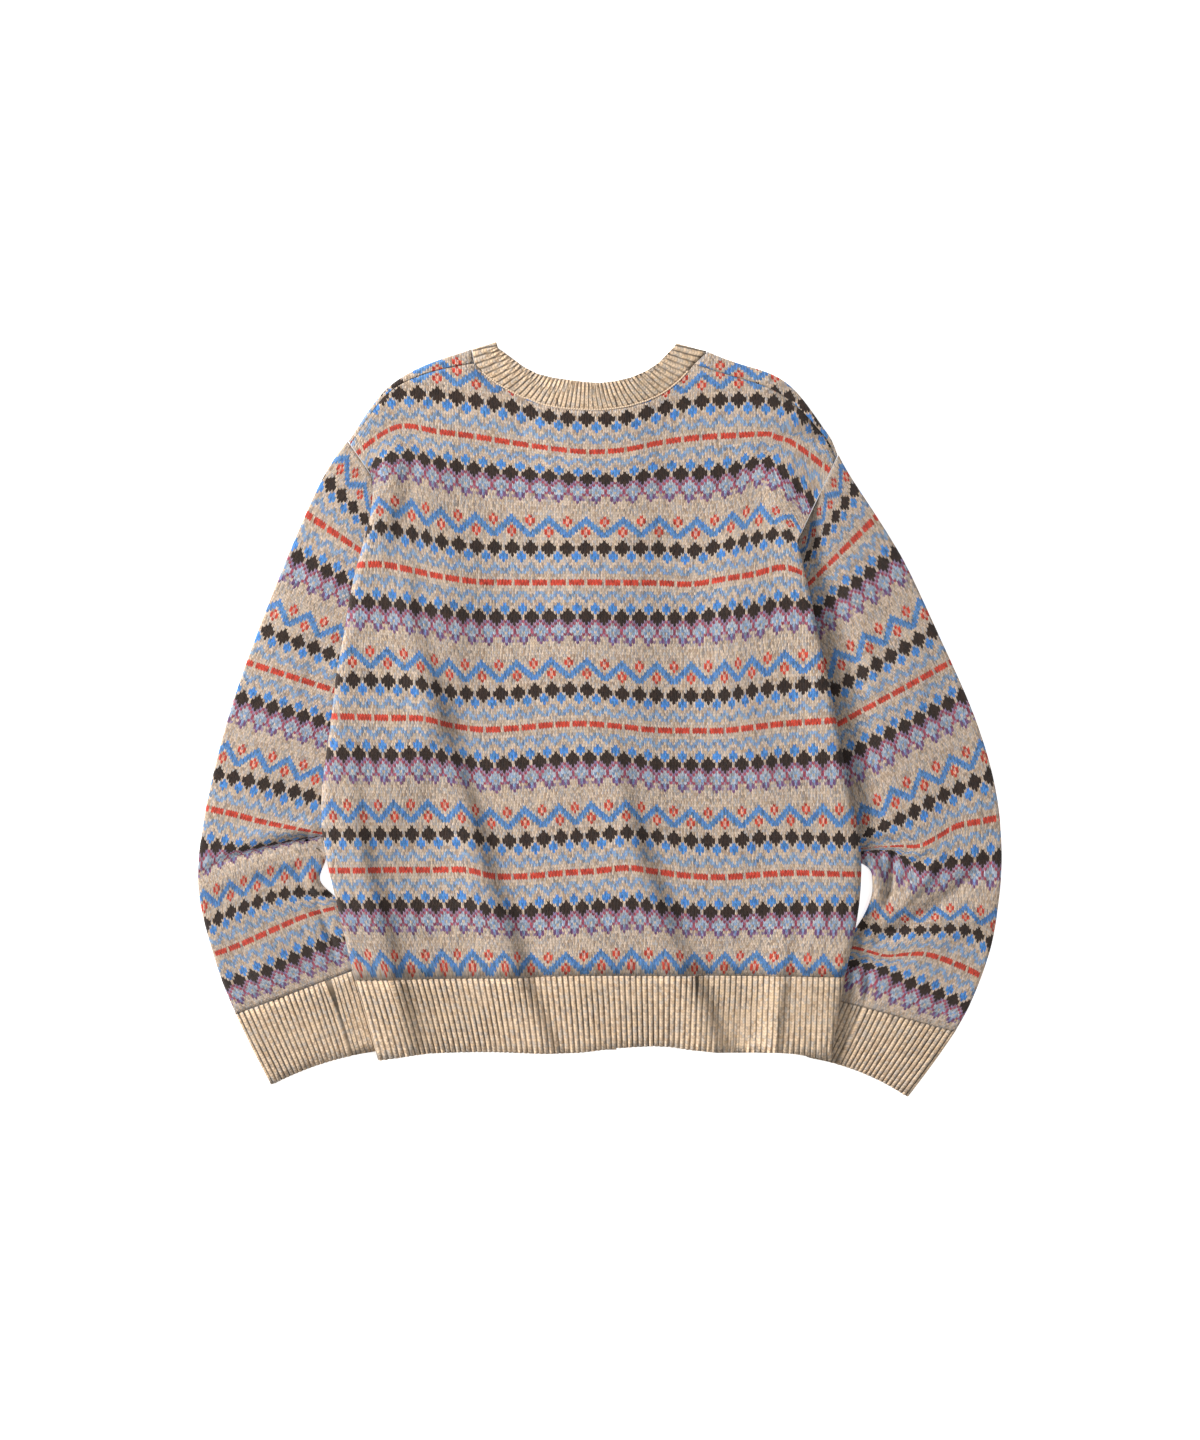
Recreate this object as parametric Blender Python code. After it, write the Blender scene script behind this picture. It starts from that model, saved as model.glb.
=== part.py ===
"""A nordic cardigan laid flat with its back up.

The frame has +Z up and the neck towards +Y. The origin is on the floor, under the middle of the
whole outline. Sizes in the tables are millimetres; SCALE turns them into metres when a mesh is made.
The wearer's left is at -X, because the back faces up.

Every knitted piece is a wall of even thickness around a middle surface. The garment lies in layers:
sleeves and fronts on the floor, the body's sides over the sleeves' inner edges, the back on top.
"""

import math

import bmesh
import bpy
import numpy as np

# ---------------------------------------------------------------- driving sizes, mm

SCALE = 0.001
CENTRE = (0.25, -0.9, 0.0)  # added to the tables' points, so that the origin is under the outline's middle
WALL = 2.4  # knitted wall, also the plain part of a rib
HALF = WALL / 2
SEAM = 0.2  # each piece stops this far short of a seam line
LAYER = 4.4  # from the middle of the lower layer to the middle of the upper one
CURL = LAYER / 2  # radius of a fold, on the wall's middle
LIFT = 7.3  # how far the body's sides ride up over the sleeves
LIFT_START = 20.0  # the body stays up this far past a sleeve's hidden edge
FRONT_RAMP, BACK_RAMP = 36.0, 46.0  # length of the slope back down
LIFT_OVER, LIFT_FADE = 20.0, 34.0  # above the armhole's low point: how far it stays up, and its slope
ROLL = 9.0  # width of the back's rounded side edge
ROLL_RISE = 2.0  # extra height of that edge over the flat layers
ROLL_FADE = 34.0  # distance in which the extra height dies out
ROLL_START = 30.0  # length over which it dies out above the armhole's low point

BUTTON_THICK = 2.4
BUTTON_RADIUS = 9.0
BUTTON_COUNT = 7
BUTTON_MARGIN = 14.0  # from a button's middle to the band's end
BAND_HALF = 15.0  # half the width of a button band
BAND_GAP = 0.3  # between the bands, and between band and button
BAND_RISE_LEFT = BUTTON_THICK + BAND_GAP
BAND_RISE_RIGHT = BAND_RISE_LEFT + WALL + BAND_GAP
BAND_SLOPE = 40.0  # width over which a front comes down to the floor
BACK_BUMP = 4.4  # the back's soft rise over the bands
BACK_BUMP_FLAT, BACK_BUMP_SLOPE = 20.0, 52.0

RIB_HEIGHT = 0.9
HEM_RIB_PITCH = 4.9
CUFF_RIB_PITCH = 4.5
NECK_RIB_PITCH = 4.1

SHARP_ANGLE = math.radians(50)  # edges that turn more than this are drawn sharp

# name, base colour (linear), roughness
KNIT = ("fair_isle_knit", (0.47, 0.36, 0.27, 1.0), 0.9)
RIB = ("beige_rib_knit", (0.55, 0.42, 0.30, 1.0), 0.9)
HORN = ("brown_button", (0.10, 0.06, 0.04, 1.0), 0.35)


def table(columns, rows):
    """A table with named columns, each an array."""
    return {name: np.array(values, float) for name, values in zip(columns.split(), zip(*rows))}


# Body sections: left and right edge, and how far in the sleeves reach under the body.
BODY = table("y left right under_left under_right", (
    (-306, -199, 207, -194, 187),
    (-270, -209, 213, -200, 197),
    (-234, -220, 219, -209, 206),
    (-200, -229, 227, -217, 219),
    (-160, -236, 234, -231, 229),
    (-120, -248, 235, -243, 221),
    (-80, -251, 228, -217, 186),
    (-40, -247, 219, -193, 165),
    (0, -241, 212, -180, 154),
    (40, -237, 204, -170, 148),
    (80, -229, 195, -161, 148),
    (120, -223, 187, -157, 152),
    (160, -212, 177, -168, 159),
    (200, -203.5, 170, -182, 163),
    (240, -204, 170, -188, 166),
))

HEM_SEAM = table("x y", ((-222, -233.5), (-100, -232), (0, -229.5), (120, -229.5), (222, -230.5)))
HEM_END = table("x y", (
    (-199, -305), (-151, -299), (-100, -298), (-30, -299), (18, -294),
    (52, -292.5), (83, -296), (116, -299), (158, -298), (207, -305),
))

# Armholes: shoulder tip, where the body starts to overlap the sleeve, and a point further down
# up to which body and sleeve lie edge to edge.
ARMHOLE_LEFT = table("x y", ((-226.8, 251.1), (-204.5, 218.7), (-203.5, 200.0)))
ARMHOLE_RIGHT = table("x y", ((214.2, 238.5), (176.8, 160.2), (181.4, 142.0)))
HIDDEN_UNDERARM_LEFT = (-171.9, 154.8)
HIDDEN_UNDERARM_RIGHT = (158.4, 115.2)

# Shoulders: the fold at the outline, and how far past it the front's cloth comes over the back.
SHOULDER_LEFT = table("x y strip", (
    (-226.8, 251.1, 4.3), (-216.4, 266.4, 4.3), (-203.8, 287.1, 4.3), (-190.8, 300.6, 4.6),
    (-168.3, 314.6, 7.0), (-150.7, 322.2, 8.8), (-115.6, 333.5, 13.1),
))
SHOULDER_RIGHT = table("x y strip", (
    (214.2, 238.5, 4.3), (209.3, 251.1, 4.4), (196.7, 269.1, 5.5), (184.1, 288.0, 8.5),
    (173.7, 300.6, 11.5), (153.9, 312.3, 14.0), (123.3, 320.9, 14.5), (97.2, 331.2, 17.0),
))

# Neck, back half: the seam to the back panel, and the band's free edge.
NECK_BACK_SEAM = table("x y", (
    (-113.4, 320.4), (-105.3, 311.4), (-92.7, 301.5), (-80.1, 295.2), (-61.2, 286.2),
    (-37.8, 279.4), (0, 277.6), (18, 279.4), (36.9, 284.0), (54.9, 291.6), (67.1, 300.6),
    (76.5, 309.6), (84.7, 319.7),
))
NECK_BACK_FREE = table("x y", (
    (-91.5, 334.0), (-79.7, 325.5), (-65.0, 315.0), (-52.2, 309.6), (-34.2, 306.0),
    (0, 302.4), (23.0, 306.0), (41.4, 313.2), (54.9, 322.6), (62.0, 330.5),
))
# Neck, front halves, from the shoulder fold to the button band (hidden under the back).
NECK_FRONT_SEAM_LEFT = table("x y", (
    (-114.6, 329.6), (-110.5, 306.0), (-97.2, 279.0), (-72.0, 258.3), (-45.0, 246.6), (-15.2, 243.0),
))
NECK_FRONT_FREE_LEFT = table("x y", (
    (-93.0, 336.0), (-88.5, 318.0), (-76.5, 297.0), (-59.4, 280.8), (-38.7, 271.0), (-15.2, 267.3),
))
NECK_FRONT_SEAM_RIGHT = table("x y", (
    (94.7, 328.5), (92.7, 304.2), (79.2, 277.2), (55.8, 257.4), (31.5, 246.6), (15.2, 243.0),
))
NECK_FRONT_FREE_RIGHT = table("x y", (
    (67.6, 334.0), (65.7, 316.8), (55.8, 297.0), (40.5, 280.8), (27.0, 271.8), (15.2, 267.3),
))
NECK_FOLD_FREE_LEFT, NECK_FOLD_FREE_RIGHT = (-93.1, 340.2), (68.9, 338.8)

# Sleeve sections follow the knitted rows: the outer and the inner end of each flattened tube.
# swell is the extra height of the middle, crease the depth of the elbow's fold at the inner end, and
# visible the share of the width that isn't under the body.
SLEEVE_COLUMNS = "row outer_x outer_y inner_x inner_y swell crease visible"
SLEEVE_LEFT = table(SLEEVE_COLUMNS, (
    (-14, -226.8, 251.1, -171.9, 154.8, 0.0, 0.0, 0.4),
    (-6, -240.3, 234.9, -165.6, 142.2, 0.6, 0.0, 0.45),
    (6, -257.4, 203.4, -161.1, 124.2, 1.2, 0.0, 0.46),
    (24, -279.9, 150.3, -158.4, 91.8, 1.7, 0.0, 0.47),
    (38, -292.5, 119.7, -164.7, 63.0, 1.9, 0.0, 0.52),
    (51, -306.9, 82.8, -171.9, 34.2, 1.9, 0.0, 0.56),
    (75, -329.4, 21.6, -186.3, -19.8, 1.9, 0.0, 0.62),
    (89, -340.2, -16.2, -198.0, -52.2, 1.9, 0.0, 0.66),
    (102, -349.2, -52.2, -217.8, -81.0, 1.9, 0.3, 0.76),
    (112, -355.5, -81.9, -235.8, -102.6, 1.9, 0.6, 0.88),
    (120, -359.1, -106.2, -246.6, -117.0, 1.6, 0.2, 1),
    (126, -361.4, -122.4, -251.1, -129.6, 0.8, 1.6, 1),
    (134, -362.3, -140.4, -252.9, -140.4, 1.4, 0.6, 1),
    (143, -360.9, -159.3, -249.3, -149.4, 1.9, 0.0, 1),
    (153, -357.3, -178.2, -237.6, -158.4, 1.9, 0.0, 1),
    (165, -350.1, -204.3, -225.9, -173.7, 1.9, 0.0, 0.94),
    (177, -340.2, -236.7, -217.8, -195.3, 1.6, 0.0, 0.91),
    (188, -327.6, -264.6, -212.4, -221.4, 1.0, 0.0, 0.92),
))
SLEEVE_RIGHT = table(SLEEVE_COLUMNS, (
    (-14, 214.2, 238.5, 158.4, 115.2, 0.0, 0.0, 0.5),
    (-6, 223.2, 222.0, 154.8, 108.0, 0.6, 0.0, 0.65),
    (6, 239.4, 198.0, 150.3, 91.8, 1.2, 0.0, 0.68),
    (24, 270.0, 151.2, 144.9, 63.0, 1.7, 0.0, 0.65),
    (38, 285.3, 119.7, 147.6, 28.8, 1.9, 0.0, 0.65),
    (51, 302.4, 81.9, 154.8, -5.4, 1.9, 0.0, 0.67),
    (75, 329.4, 23.4, 172.8, -57.6, 1.9, 0.0, 0.73),
    (89, 342.9, -11.7, 193.5, -91.8, 1.9, 0.0, 0.81),
    (102, 353.7, -48.6, 214.2, -115.2, 1.9, 0.2, 0.89),
    (112, 359.1, -79.2, 229.5, -126.0, 1.9, 0.5, 0.97),
    (120, 360.9, -103.5, 236.7, -129.6, 1.7, 0.9, 1),
    (126, 361.8, -122.4, 241.2, -132.3, 1.3, 1.3, 1),
    (134, 360.9, -144.0, 246.6, -140.4, 1.4, 0.4, 1),
    (143, 358.2, -169.2, 243.9, -162.0, 1.5, 0.0, 1),
    (153, 353.7, -199.8, 234.0, -181.8, 1.9, 0.0, 1),
    (165, 344.7, -227.7, 217.8, -203.4, 1.9, 0.0, 0.93),
    (177, 332.1, -259.2, 207.9, -221.4, 1.6, 0.0, 0.88),
    (188, 319.5, -279.9, 205.2, -249.3, 1.0, 0.0, 0.89),
))
# Cuffs: outer end, inner end, and how far the middle of the section bows towards the shoulder.
CUFF_LEFT = table("outer_x outer_y inner_x inner_y bow", (
    (-327.6, -264.6, -212.4, -221.4, 0.0),
    (-312.3, -297.0, -203.4, -256.5, 2.5),
    (-296.1, -327.6, -194.4, -296.1, 4.5),
))
CUFF_RIGHT = table("outer_x outer_y inner_x inner_y bow", (
    (319.5, -279.9, 205.2, -249.3, 0.0),
    (300.6, -307.8, 196.2, -276.3, 3.0),
    (277.2, -338.4, 185.4, -302.4, 5.0),
))

# The back's folds: each is a ridge whose crest runs through these points.
FOLD_COLUMNS = "x y height left_width right_width"
FOLDS = (
    table(FOLD_COLUMNS, (
        (-222, 40, 0.0, 26, 26), (-217, -40, 1.6, 24, 26), (-214, -105, 3.0, 22, 24),
        (-203, -168, 3.4, 24, 26), (-192, -216, 3.6, 26, 26), (-181, -300, 4.2, 26, 24),
    )),
    table(FOLD_COLUMNS, (
        (-152, 60, 0.0, 40, 30), (-147, -20, 2.0, 40, 30), (-130, -80, 3.4, 40, 28),
        (-106, -150, 5.0, 42, 26), (-82, -228, 6.0, 46, 24), (-52, -300, 6.6, 46, 22),
    )),
    table(FOLD_COLUMNS, (
        (-2, 20, 0.0, 50, 36), (6, -30, 1.4, 50, 32), (28, -100, 2.8, 48, 28),
        (48, -165, 4.2, 48, 26), (68, -222, 5.4, 48, 24), (97, -300, 6.2, 46, 22),
    )),
    table(FOLD_COLUMNS, (
        (152, -150, 0.0, 30, 20), (156, -205, 1.8, 28, 18), (158, -240, 3.4, 26, 16),
        (156, -300, 4.6, 26, 15),
    )),
)

# ---------------------------------------------------------------- curves and surfaces


def smoothstep(t):
    t = np.clip(t, 0.0, 1.0)
    return t * t * (3.0 - 2.0 * t)


def smooth(q, xs, ys):
    """A smooth curve through a table's points that never overshoots them."""
    xs, ys = np.asarray(xs, float), np.asarray(ys, float)
    if xs[0] > xs[-1]:
        xs, ys = xs[::-1], ys[::-1]
    h = np.diff(xs)
    slope = np.diff(ys) / h
    m = np.concatenate(([slope[0]], np.zeros(len(h) - 1), [slope[-1]]))
    for i in range(1, len(h)):
        if slope[i - 1] * slope[i] > 0:
            w1, w2 = 2 * h[i] + h[i - 1], h[i] + 2 * h[i - 1]
            m[i] = (w1 + w2) / (w1 / slope[i - 1] + w2 / slope[i])
    q = np.clip(q, xs[0], xs[-1])
    i = np.clip(np.searchsorted(xs, q) - 1, 0, len(h) - 1)
    t = (q - xs[i]) / h[i]
    return ((2 * t**3 - 3 * t**2 + 1) * ys[i] + (t**3 - 2 * t**2 + t) * h[i] * m[i]
            + (3 * t**2 - 2 * t**3) * ys[i + 1] + (t**3 - t**2) * h[i] * m[i + 1])


def points_of(curve):
    return np.column_stack([curve["x"], curve["y"]])


def along(points, fractions):
    """Points at these fractions of a smooth line's length."""
    points = np.asarray(points, float)
    steps = np.linalg.norm(np.diff(points, axis=0), axis=1)
    length = np.concatenate(([0.0], np.cumsum(steps))) / steps.sum()
    return np.column_stack([smooth(fractions, length, points[:, k]) for k in range(points.shape[1])])


def unit(v):
    v = np.asarray(v, float)
    return v / np.linalg.norm(v, axis=-1, keepdims=True)


def flat_top(distance, flat, slope):
    """1 up to the distance flat, then down to 0 within slope."""
    return 1.0 - smoothstep((distance - flat) / slope)


def lift(x, y, ramp):
    """How far the body is raised by the sleeves that lie under its sides."""
    under_left = smooth(y, BODY["y"], BODY["under_left"]) + LIFT_START
    under_right = smooth(y, BODY["y"], BODY["under_right"]) - LIFT_START
    left = flat_top(x, under_left, ramp) * flat_top(y, ARMHOLE_LEFT["y"][2] + LIFT_OVER, LIFT_FADE)
    right = flat_top(-x, -under_right, ramp) * flat_top(y, ARMHOLE_RIGHT["y"][2] + LIFT_OVER, LIFT_FADE)
    return LIFT * np.maximum(left, right)


def folds(x, y):
    """Height that the ridges add to the back."""
    total = 0.0
    for ridge in FOLDS:
        crest = smooth(y, ridge["y"], ridge["x"])
        height = smooth(y, ridge["y"], ridge["height"]) * (y < ridge["y"][0])
        width = np.where(x < crest, smooth(y, ridge["y"], ridge["left_width"]),
                         smooth(y, ridge["y"], ridge["right_width"]))
        total = total + height * (1 - smoothstep(np.abs(x - crest) / width))
    return total


def front_middle(x, y):
    """Height of the middle of the fronts' wall, also under their ribs."""
    band = np.where(x < 0, BAND_RISE_LEFT, BAND_RISE_RIGHT)
    return HALF + lift(x, y, FRONT_RAMP) + band * flat_top(np.abs(x), BAND_HALF, BAND_SLOPE)


def body_edges(y):
    return smooth(y, BODY["y"], BODY["left"]), smooth(y, BODY["y"], BODY["right"])


def back_middle(x, y):
    """Height of the middle of the back's wall, without the rounding of its sides."""
    left, right = body_edges(np.minimum(y, BODY["y"][-2]))
    from_edge = np.minimum(x - left, right - x)
    armhole_low = np.where(x < 0, ARMHOLE_LEFT["y"][2], ARMHOLE_RIGHT["y"][2])
    below_armhole = flat_top(y, armhole_low, ROLL_START)
    edge = ROLL_RISE * flat_top(from_edge, 0.0, ROLL_FADE) * below_armhole
    bump = BACK_BUMP * flat_top(np.abs(x), BACK_BUMP_FLAT, BACK_BUMP_SLOPE)
    return HALF + LAYER + lift(x, y, BACK_RAMP) + edge + bump + folds(x, y)


def grid_normals(grid, ring=False):
    """Normals of a rows x columns grid of points, by differences."""
    du = np.gradient(grid, axis=1)
    dv = np.gradient(grid, axis=0)
    if ring:
        du = (np.roll(grid, -1, axis=1) - np.roll(grid, 1, axis=1)) / 2
    return unit(np.cross(du, dv))


# ---------------------------------------------------------------- meshes

MATERIALS = {}


def material(name, colour, roughness):
    if name not in MATERIALS:
        made = bpy.data.materials.new(name)
        made.use_nodes = True
        shader = made.node_tree.nodes["Principled BSDF"]
        shader.inputs["Base Color"].default_value = colour
        shader.inputs["Roughness"].default_value = roughness
        shader.inputs["Metallic"].default_value = 0.0
        MATERIALS[name] = made
    return MATERIALS[name]


def add_object(name, points, faces, finish):
    """A mesh object with its faces turned outwards."""
    mesh = bpy.data.meshes.new(name)
    mesh.from_pydata([tuple(p) for p in (np.asarray(points) + CENTRE) * SCALE], [], faces)
    shell = bmesh.new()
    shell.from_mesh(mesh)
    bmesh.ops.recalc_face_normals(shell, faces=shell.faces)
    shell.to_mesh(mesh)
    shell.free()
    mesh.materials.append(material(*finish))
    mesh.shade_smooth()
    mesh.set_sharp_from_angle(angle=SHARP_ANGLE)
    piece = bpy.data.objects.new(name, mesh)
    bpy.context.scene.collection.objects.link(piece)
    return piece


class Sheet:
    """The middle surface of a wall: points with normals, and the quads between them."""

    def __init__(self):
        self.points, self.normals, self.quads = [], [], []

    def add(self, points, normals):
        start = sum(len(p) for p in self.points)
        shape = points.shape[:2]
        self.points.append(points.reshape(-1, 3))
        self.normals.append(normals.reshape(-1, 3))
        return start + np.arange(shape[0] * shape[1]).reshape(shape)

    def join(self, index, ring=False):
        """Quads of a grid of point numbers."""
        if ring:
            index = np.column_stack([index, index[:, 0]])
        a, b, c, d = index[:-1, :-1], index[:-1, 1:], index[1:, 1:], index[1:, :-1]
        self.quads.append(np.stack([a, b, c, d], axis=-1).reshape(-1, 4))

    def solid(self, name, finish):
        """Both faces of the wall, and its rim."""
        points, normals = np.concatenate(self.points), np.concatenate(self.normals)
        quads = np.concatenate(self.quads)
        count = len(points)
        shell = np.concatenate([points + HALF * normals, points - HALF * normals])
        sides = np.concatenate([quads[:, [k, (k + 1) % 4]] for k in range(4)])
        once = {}
        for a, b in sides:
            key = (min(a, b), max(a, b))
            once[key] = None if key in once else (a, b)
        rim = [(b, a, a + count, b + count) for a, b in filter(None, once.values())]
        faces = quads.tolist() + (quads[:, ::-1] + count).tolist() + [tuple(map(int, q)) for q in rim]
        return add_object(name, shell, faces, finish)


def stitched(fine, coarse, fine_at, coarse_at):
    """Triangles between two rows of points of different number, from their places along the row."""
    faces, i, j = [], 0, 0
    while i < len(fine) - 1 or j < len(coarse) - 1:
        go_fine = j == len(coarse) - 1 or (
            i < len(fine) - 1 and fine_at[i + 1] <= coarse_at[j + 1] + 1e-9)
        if go_fine:
            faces.append((fine[i], fine[i + 1], coarse[j]))
            i += 1
        else:
            faces.append((fine[i], coarse[j + 1], coarse[j]))
            j += 1
    return faces


def ribbed_solid(name, middle, normals, spans, pitch, finish, ring=False, taper=(0.0, 1.0, 1.0)):
    """A wall with raised ribs on its outer face over a plain inner face.

    middle is a rows x columns grid; ribs run along the columns of each span (first, last column).
    taper gives the ribs' height in each row, as a share of RIB_HEIGHT.
    """
    if ring:
        middle = np.concatenate([middle, middle[:, :1]], axis=1)
        normals = np.concatenate([normals, normals[:, :1]], axis=1)
    rows, columns = middle.shape[:2]
    steps = np.linalg.norm(np.diff(middle[rows // 2], axis=0), axis=1)
    place = np.concatenate(([0.0], np.cumsum(steps)))
    stations, heights = list(place), [0.0] * columns
    for first, last in spans:
        count = max(1, round((place[last] - place[first]) / pitch))
        inside = place[first] + (place[last] - place[first]) * np.arange(1, 2 * count) / (2 * count)
        keep = [k for k, s in enumerate(stations) if not place[first] < s < place[last]]
        stations = [stations[k] for k in keep] + list(inside)
        heights = [heights[k] for k in keep] + [float(k % 2) for k in range(1, 2 * count)]
    order = np.argsort(stations)
    stations, heights = np.array(stations)[order], np.array(heights)[order]
    outer = []
    for r in range(rows):
        mid = np.column_stack([np.interp(stations, place, middle[r, :, k]) for k in range(3)])
        out = np.column_stack([np.interp(stations, place, normals[r, :, k]) for k in range(3)])
        outer.append(mid + out * (HALF + RIB_HEIGHT * taper[r] * heights)[:, None])
    outer, inner = np.array(outer), middle - HALF * normals
    if ring:
        outer, inner = outer[:, :-1], inner[:, :-1]
    wide, narrow = outer.shape[1], inner.shape[1]
    outer_index = np.arange(rows * wide).reshape(rows, wide)
    inner_index = rows * wide + np.arange(rows * narrow).reshape(rows, narrow)
    if ring:
        outer_index = np.column_stack([outer_index, outer_index[:, 0]])
        inner_index = np.column_stack([inner_index, inner_index[:, 0]])
    faces = []
    for index in (outer_index, inner_index[:, ::-1]):
        for r in range(rows - 1):
            for c in range(index.shape[1] - 1):
                faces.append((index[r, c], index[r, c + 1], index[r + 1, c + 1], index[r + 1, c]))
    faces += stitched(inner_index[0], outer_index[0], place, stations)
    faces += [f[::-1] for f in stitched(inner_index[-1], outer_index[-1], place, stations)]
    if not ring:
        for c in (0, -1):
            for r in range(rows - 1):
                quad = (outer_index[r, c], outer_index[r + 1, c], inner_index[r + 1, c], inner_index[r, c])
                faces.append(quad if c == 0 else quad[::-1])
    points = np.concatenate([outer.reshape(-1, 3), inner.reshape(-1, 3)])
    return add_object(name, points, [tuple(map(int, f)) for f in faces], finish)


# ---------------------------------------------------------------- body

SIDE_ROWS = 16  # from the hem seam to the underarm
ROW_CROWDING = 0.75  # below 1, the rows lie closer towards the underarm
ARMHOLE_ROWS = 3
HEM_SIDE = 220.0  # the hem seam's height at the side edges is read this far from the middle
RIDGE_SAMPLES = 81  # points that measure a shoulder's length
HEM_SHARES = (0.0, 0.5, 1.0)  # rows of a hem rib, from its seam to its free edge
EDGE_OFFSETS = (0.0, 0.8, 3.0, 6.0, 9.0, 15.0)  # columns of the rounded side edges, from the edge inwards
SHOULDER_COLUMNS, NECK_COLUMNS, FRONT_NECK_COLUMNS = 6, 12, 6
BEND_POWER = 3  # how fast the bends of a patch's sides die out inwards
TURN_ANGLES = np.radians((-45.0, 0.0, 45.0, 90.0))
NECK_DOWN_LEFT, NECK_DOWN_RIGHT = (2.2, -13.1), (-12.5, -11.5)  # the neck seam's way at the shoulder folds


class Side:
    """One side of the body: its armhole, its shoulder, and the rows and columns that follow them."""

    def __init__(self, sign, armhole, shoulder, neck_down):
        self.sign, self.armhole, self.shoulder, self.neck_down = sign, armhole, shoulder, neck_down
        fine = np.linspace(0, 1, RIDGE_SAMPLES)
        ridge, down, strip = self.ridge(fine)
        x = np.abs(ridge[:, 0] + down[:, 0] * strip)
        inner = np.linspace(EDGE_OFFSETS[-1], x[0] - x[-1], SHOULDER_COLUMNS + 1)[1:]
        offsets = np.concatenate([EDGE_OFFSETS, inner])
        self.shares = np.interp(offsets, x[0] - x, fine)

    def ridge(self, shares):
        """Points on the shoulder's fold, the way down from each, and the strip's width."""
        curve = self.shoulder
        line = along(np.column_stack([curve["x"], curve["y"], curve["strip"]]), shares)
        line[:, 0] -= self.sign * INSET_FLAT * (1 - shares)
        seam_down = unit(points_of(self.armhole)[1] - points_of(self.armhole)[0])
        down = unit((1 - shares)[:, None] * seam_down + shares[:, None] * unit(self.neck_down))
        return line[:, :2], down, line[:, 2]

    def rows(self, top_y):
        """Plan points of the side edge, from the hem seam to the shoulder."""
        tip, end, low = self.armhole["y"]
        hem = smooth(self.sign * HEM_SIDE, HEM_SEAM["x"], HEM_SEAM["y"]) + SEAM
        below = hem + (low - hem) * np.linspace(0, 1, SIDE_ROWS + 1) ** ROW_CROWDING
        y = np.concatenate([below, [(low + end) / 2],
                            np.linspace(end, top_y, ARMHOLE_ROWS + 1)])
        edge = np.where(y > low - 1e-6, np.interp(y, self.armhole["y"][::-1], self.armhole["x"][::-1]),
                        self.edge(y))
        return np.column_stack([edge - self.sign * (INSET_ROLLED * ROLLED + INSET_FLAT * (1 - ROLLED)), y])

    def edge(self, y):
        return smooth(y, BODY["y"], BODY["left"] if self.sign < 0 else BODY["right"])


ROLLED = np.array([1.0] * (SIDE_ROWS + 1) + [0.5] + [0.0] * (ARMHOLE_ROWS + 1))  # rounding of each row's edge
INSET_ROLLED, INSET_FLAT = HALF + 0.1, 0.4  # the middle surface's edge lies this far inside the outline
LEFT = Side(-1, ARMHOLE_LEFT, SHOULDER_LEFT, NECK_DOWN_LEFT)
RIGHT = Side(1, ARMHOLE_RIGHT, SHOULDER_RIGHT, NECK_DOWN_RIGHT)


def rounding(width):
    """How far a rounded edge has fallen at each edge column: 1 at the edge, 0 from width inwards."""
    reach = np.clip(np.array(EDGE_OFFSETS) / width, 0.0, 1.0)
    return 1.0 - np.sqrt(1.0 - (1.0 - reach) ** 2)


def across_of(row):
    return (row[:, 0] - row[0, 0]) / (row[-1, 0] - row[0, 0])


def patch(bottom, top, left, right):
    """Points of a four-sided patch; the bends of its sides die out inwards."""
    u = across_of(top)[None, :, None]
    v = ((left[:, 1] - left[0, 1]) / (left[-1, 1] - left[0, 1]))[:, None, None]
    low, high = [(1 - u) * row[0] + u * row[-1] for row in (bottom, top)]
    first, last = [(1 - v) * column[0] + v * column[-1] for column in (left, right)]
    return ((1 - v) * low + v * high
            + (1 - v) ** BEND_POWER * (bottom - low) + v ** BEND_POWER * (top - high)
            + (1 - u) ** BEND_POWER * (left[:, None] - first) + u ** BEND_POWER * (right[:, None] - last))


def hem_line(across, first_x, last_x, share):
    """Plan points across a hem rib, at this share of its depth."""
    x = first_x + (last_x - first_x) * across
    y = (1 - share) * smooth(x, HEM_SEAM["x"], HEM_SEAM["y"]) + share * smooth(x, HEM_END["x"], HEM_END["y"])
    return np.column_stack([x, y])


def hem_side(side, share):
    """The side edge's x at this share of the hem's depth."""
    seam = smooth(side.sign * HEM_SIDE, HEM_SEAM["x"], HEM_SEAM["y"])
    end = HEM_END["y"][0 if side.sign < 0 else -1]
    return float(side.edge(seam + share * (end - seam))) - side.sign * INSET_ROLLED


def side_seam(x, y):
    """Height of the side seam, half way between the two layers."""
    return front_middle(x, y) + CURL


def back_surface(plan, rolled):
    """The back over its plan, its sides rounded down to the side seams."""
    x, y = plan[..., 0], plan[..., 1]
    z = back_middle(x, y)
    fall = rounding(ROLL)
    n = len(fall)
    left = z[:, :1] - side_seam(x[:, :1], y[:, :1]) - SEAM
    right = z[:, -1:] - side_seam(x[:, -1:], y[:, -1:]) - SEAM
    z[:, :n] -= rolled[:, None] * fall * left
    z[:, -n:] -= rolled[:, None] * fall[::-1] * right
    return np.concatenate([plan, z[..., None]], axis=-1)


def front_surface(plan, rolled):
    """A front over its plan, its side turned up to the side seam."""
    z = front_middle(plan[..., 0], plan[..., 1])
    rise = rounding(CURL)
    z[:, :len(rise)] += rolled[:, None] * rise * (CURL - SEAM)
    return np.concatenate([plan, z[..., None]], axis=-1)


def upright(normals, line):
    """Turns a seam row's normals upright across the seam, so that two pieces meet face to face."""
    tangent = np.gradient(line, axis=0)
    across = unit(np.column_stack([-tangent[:, 1], tangent[:, 0], np.zeros(len(line))]))
    return unit(normals - (normals * across).sum(axis=1, keepdims=True) * across)


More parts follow.
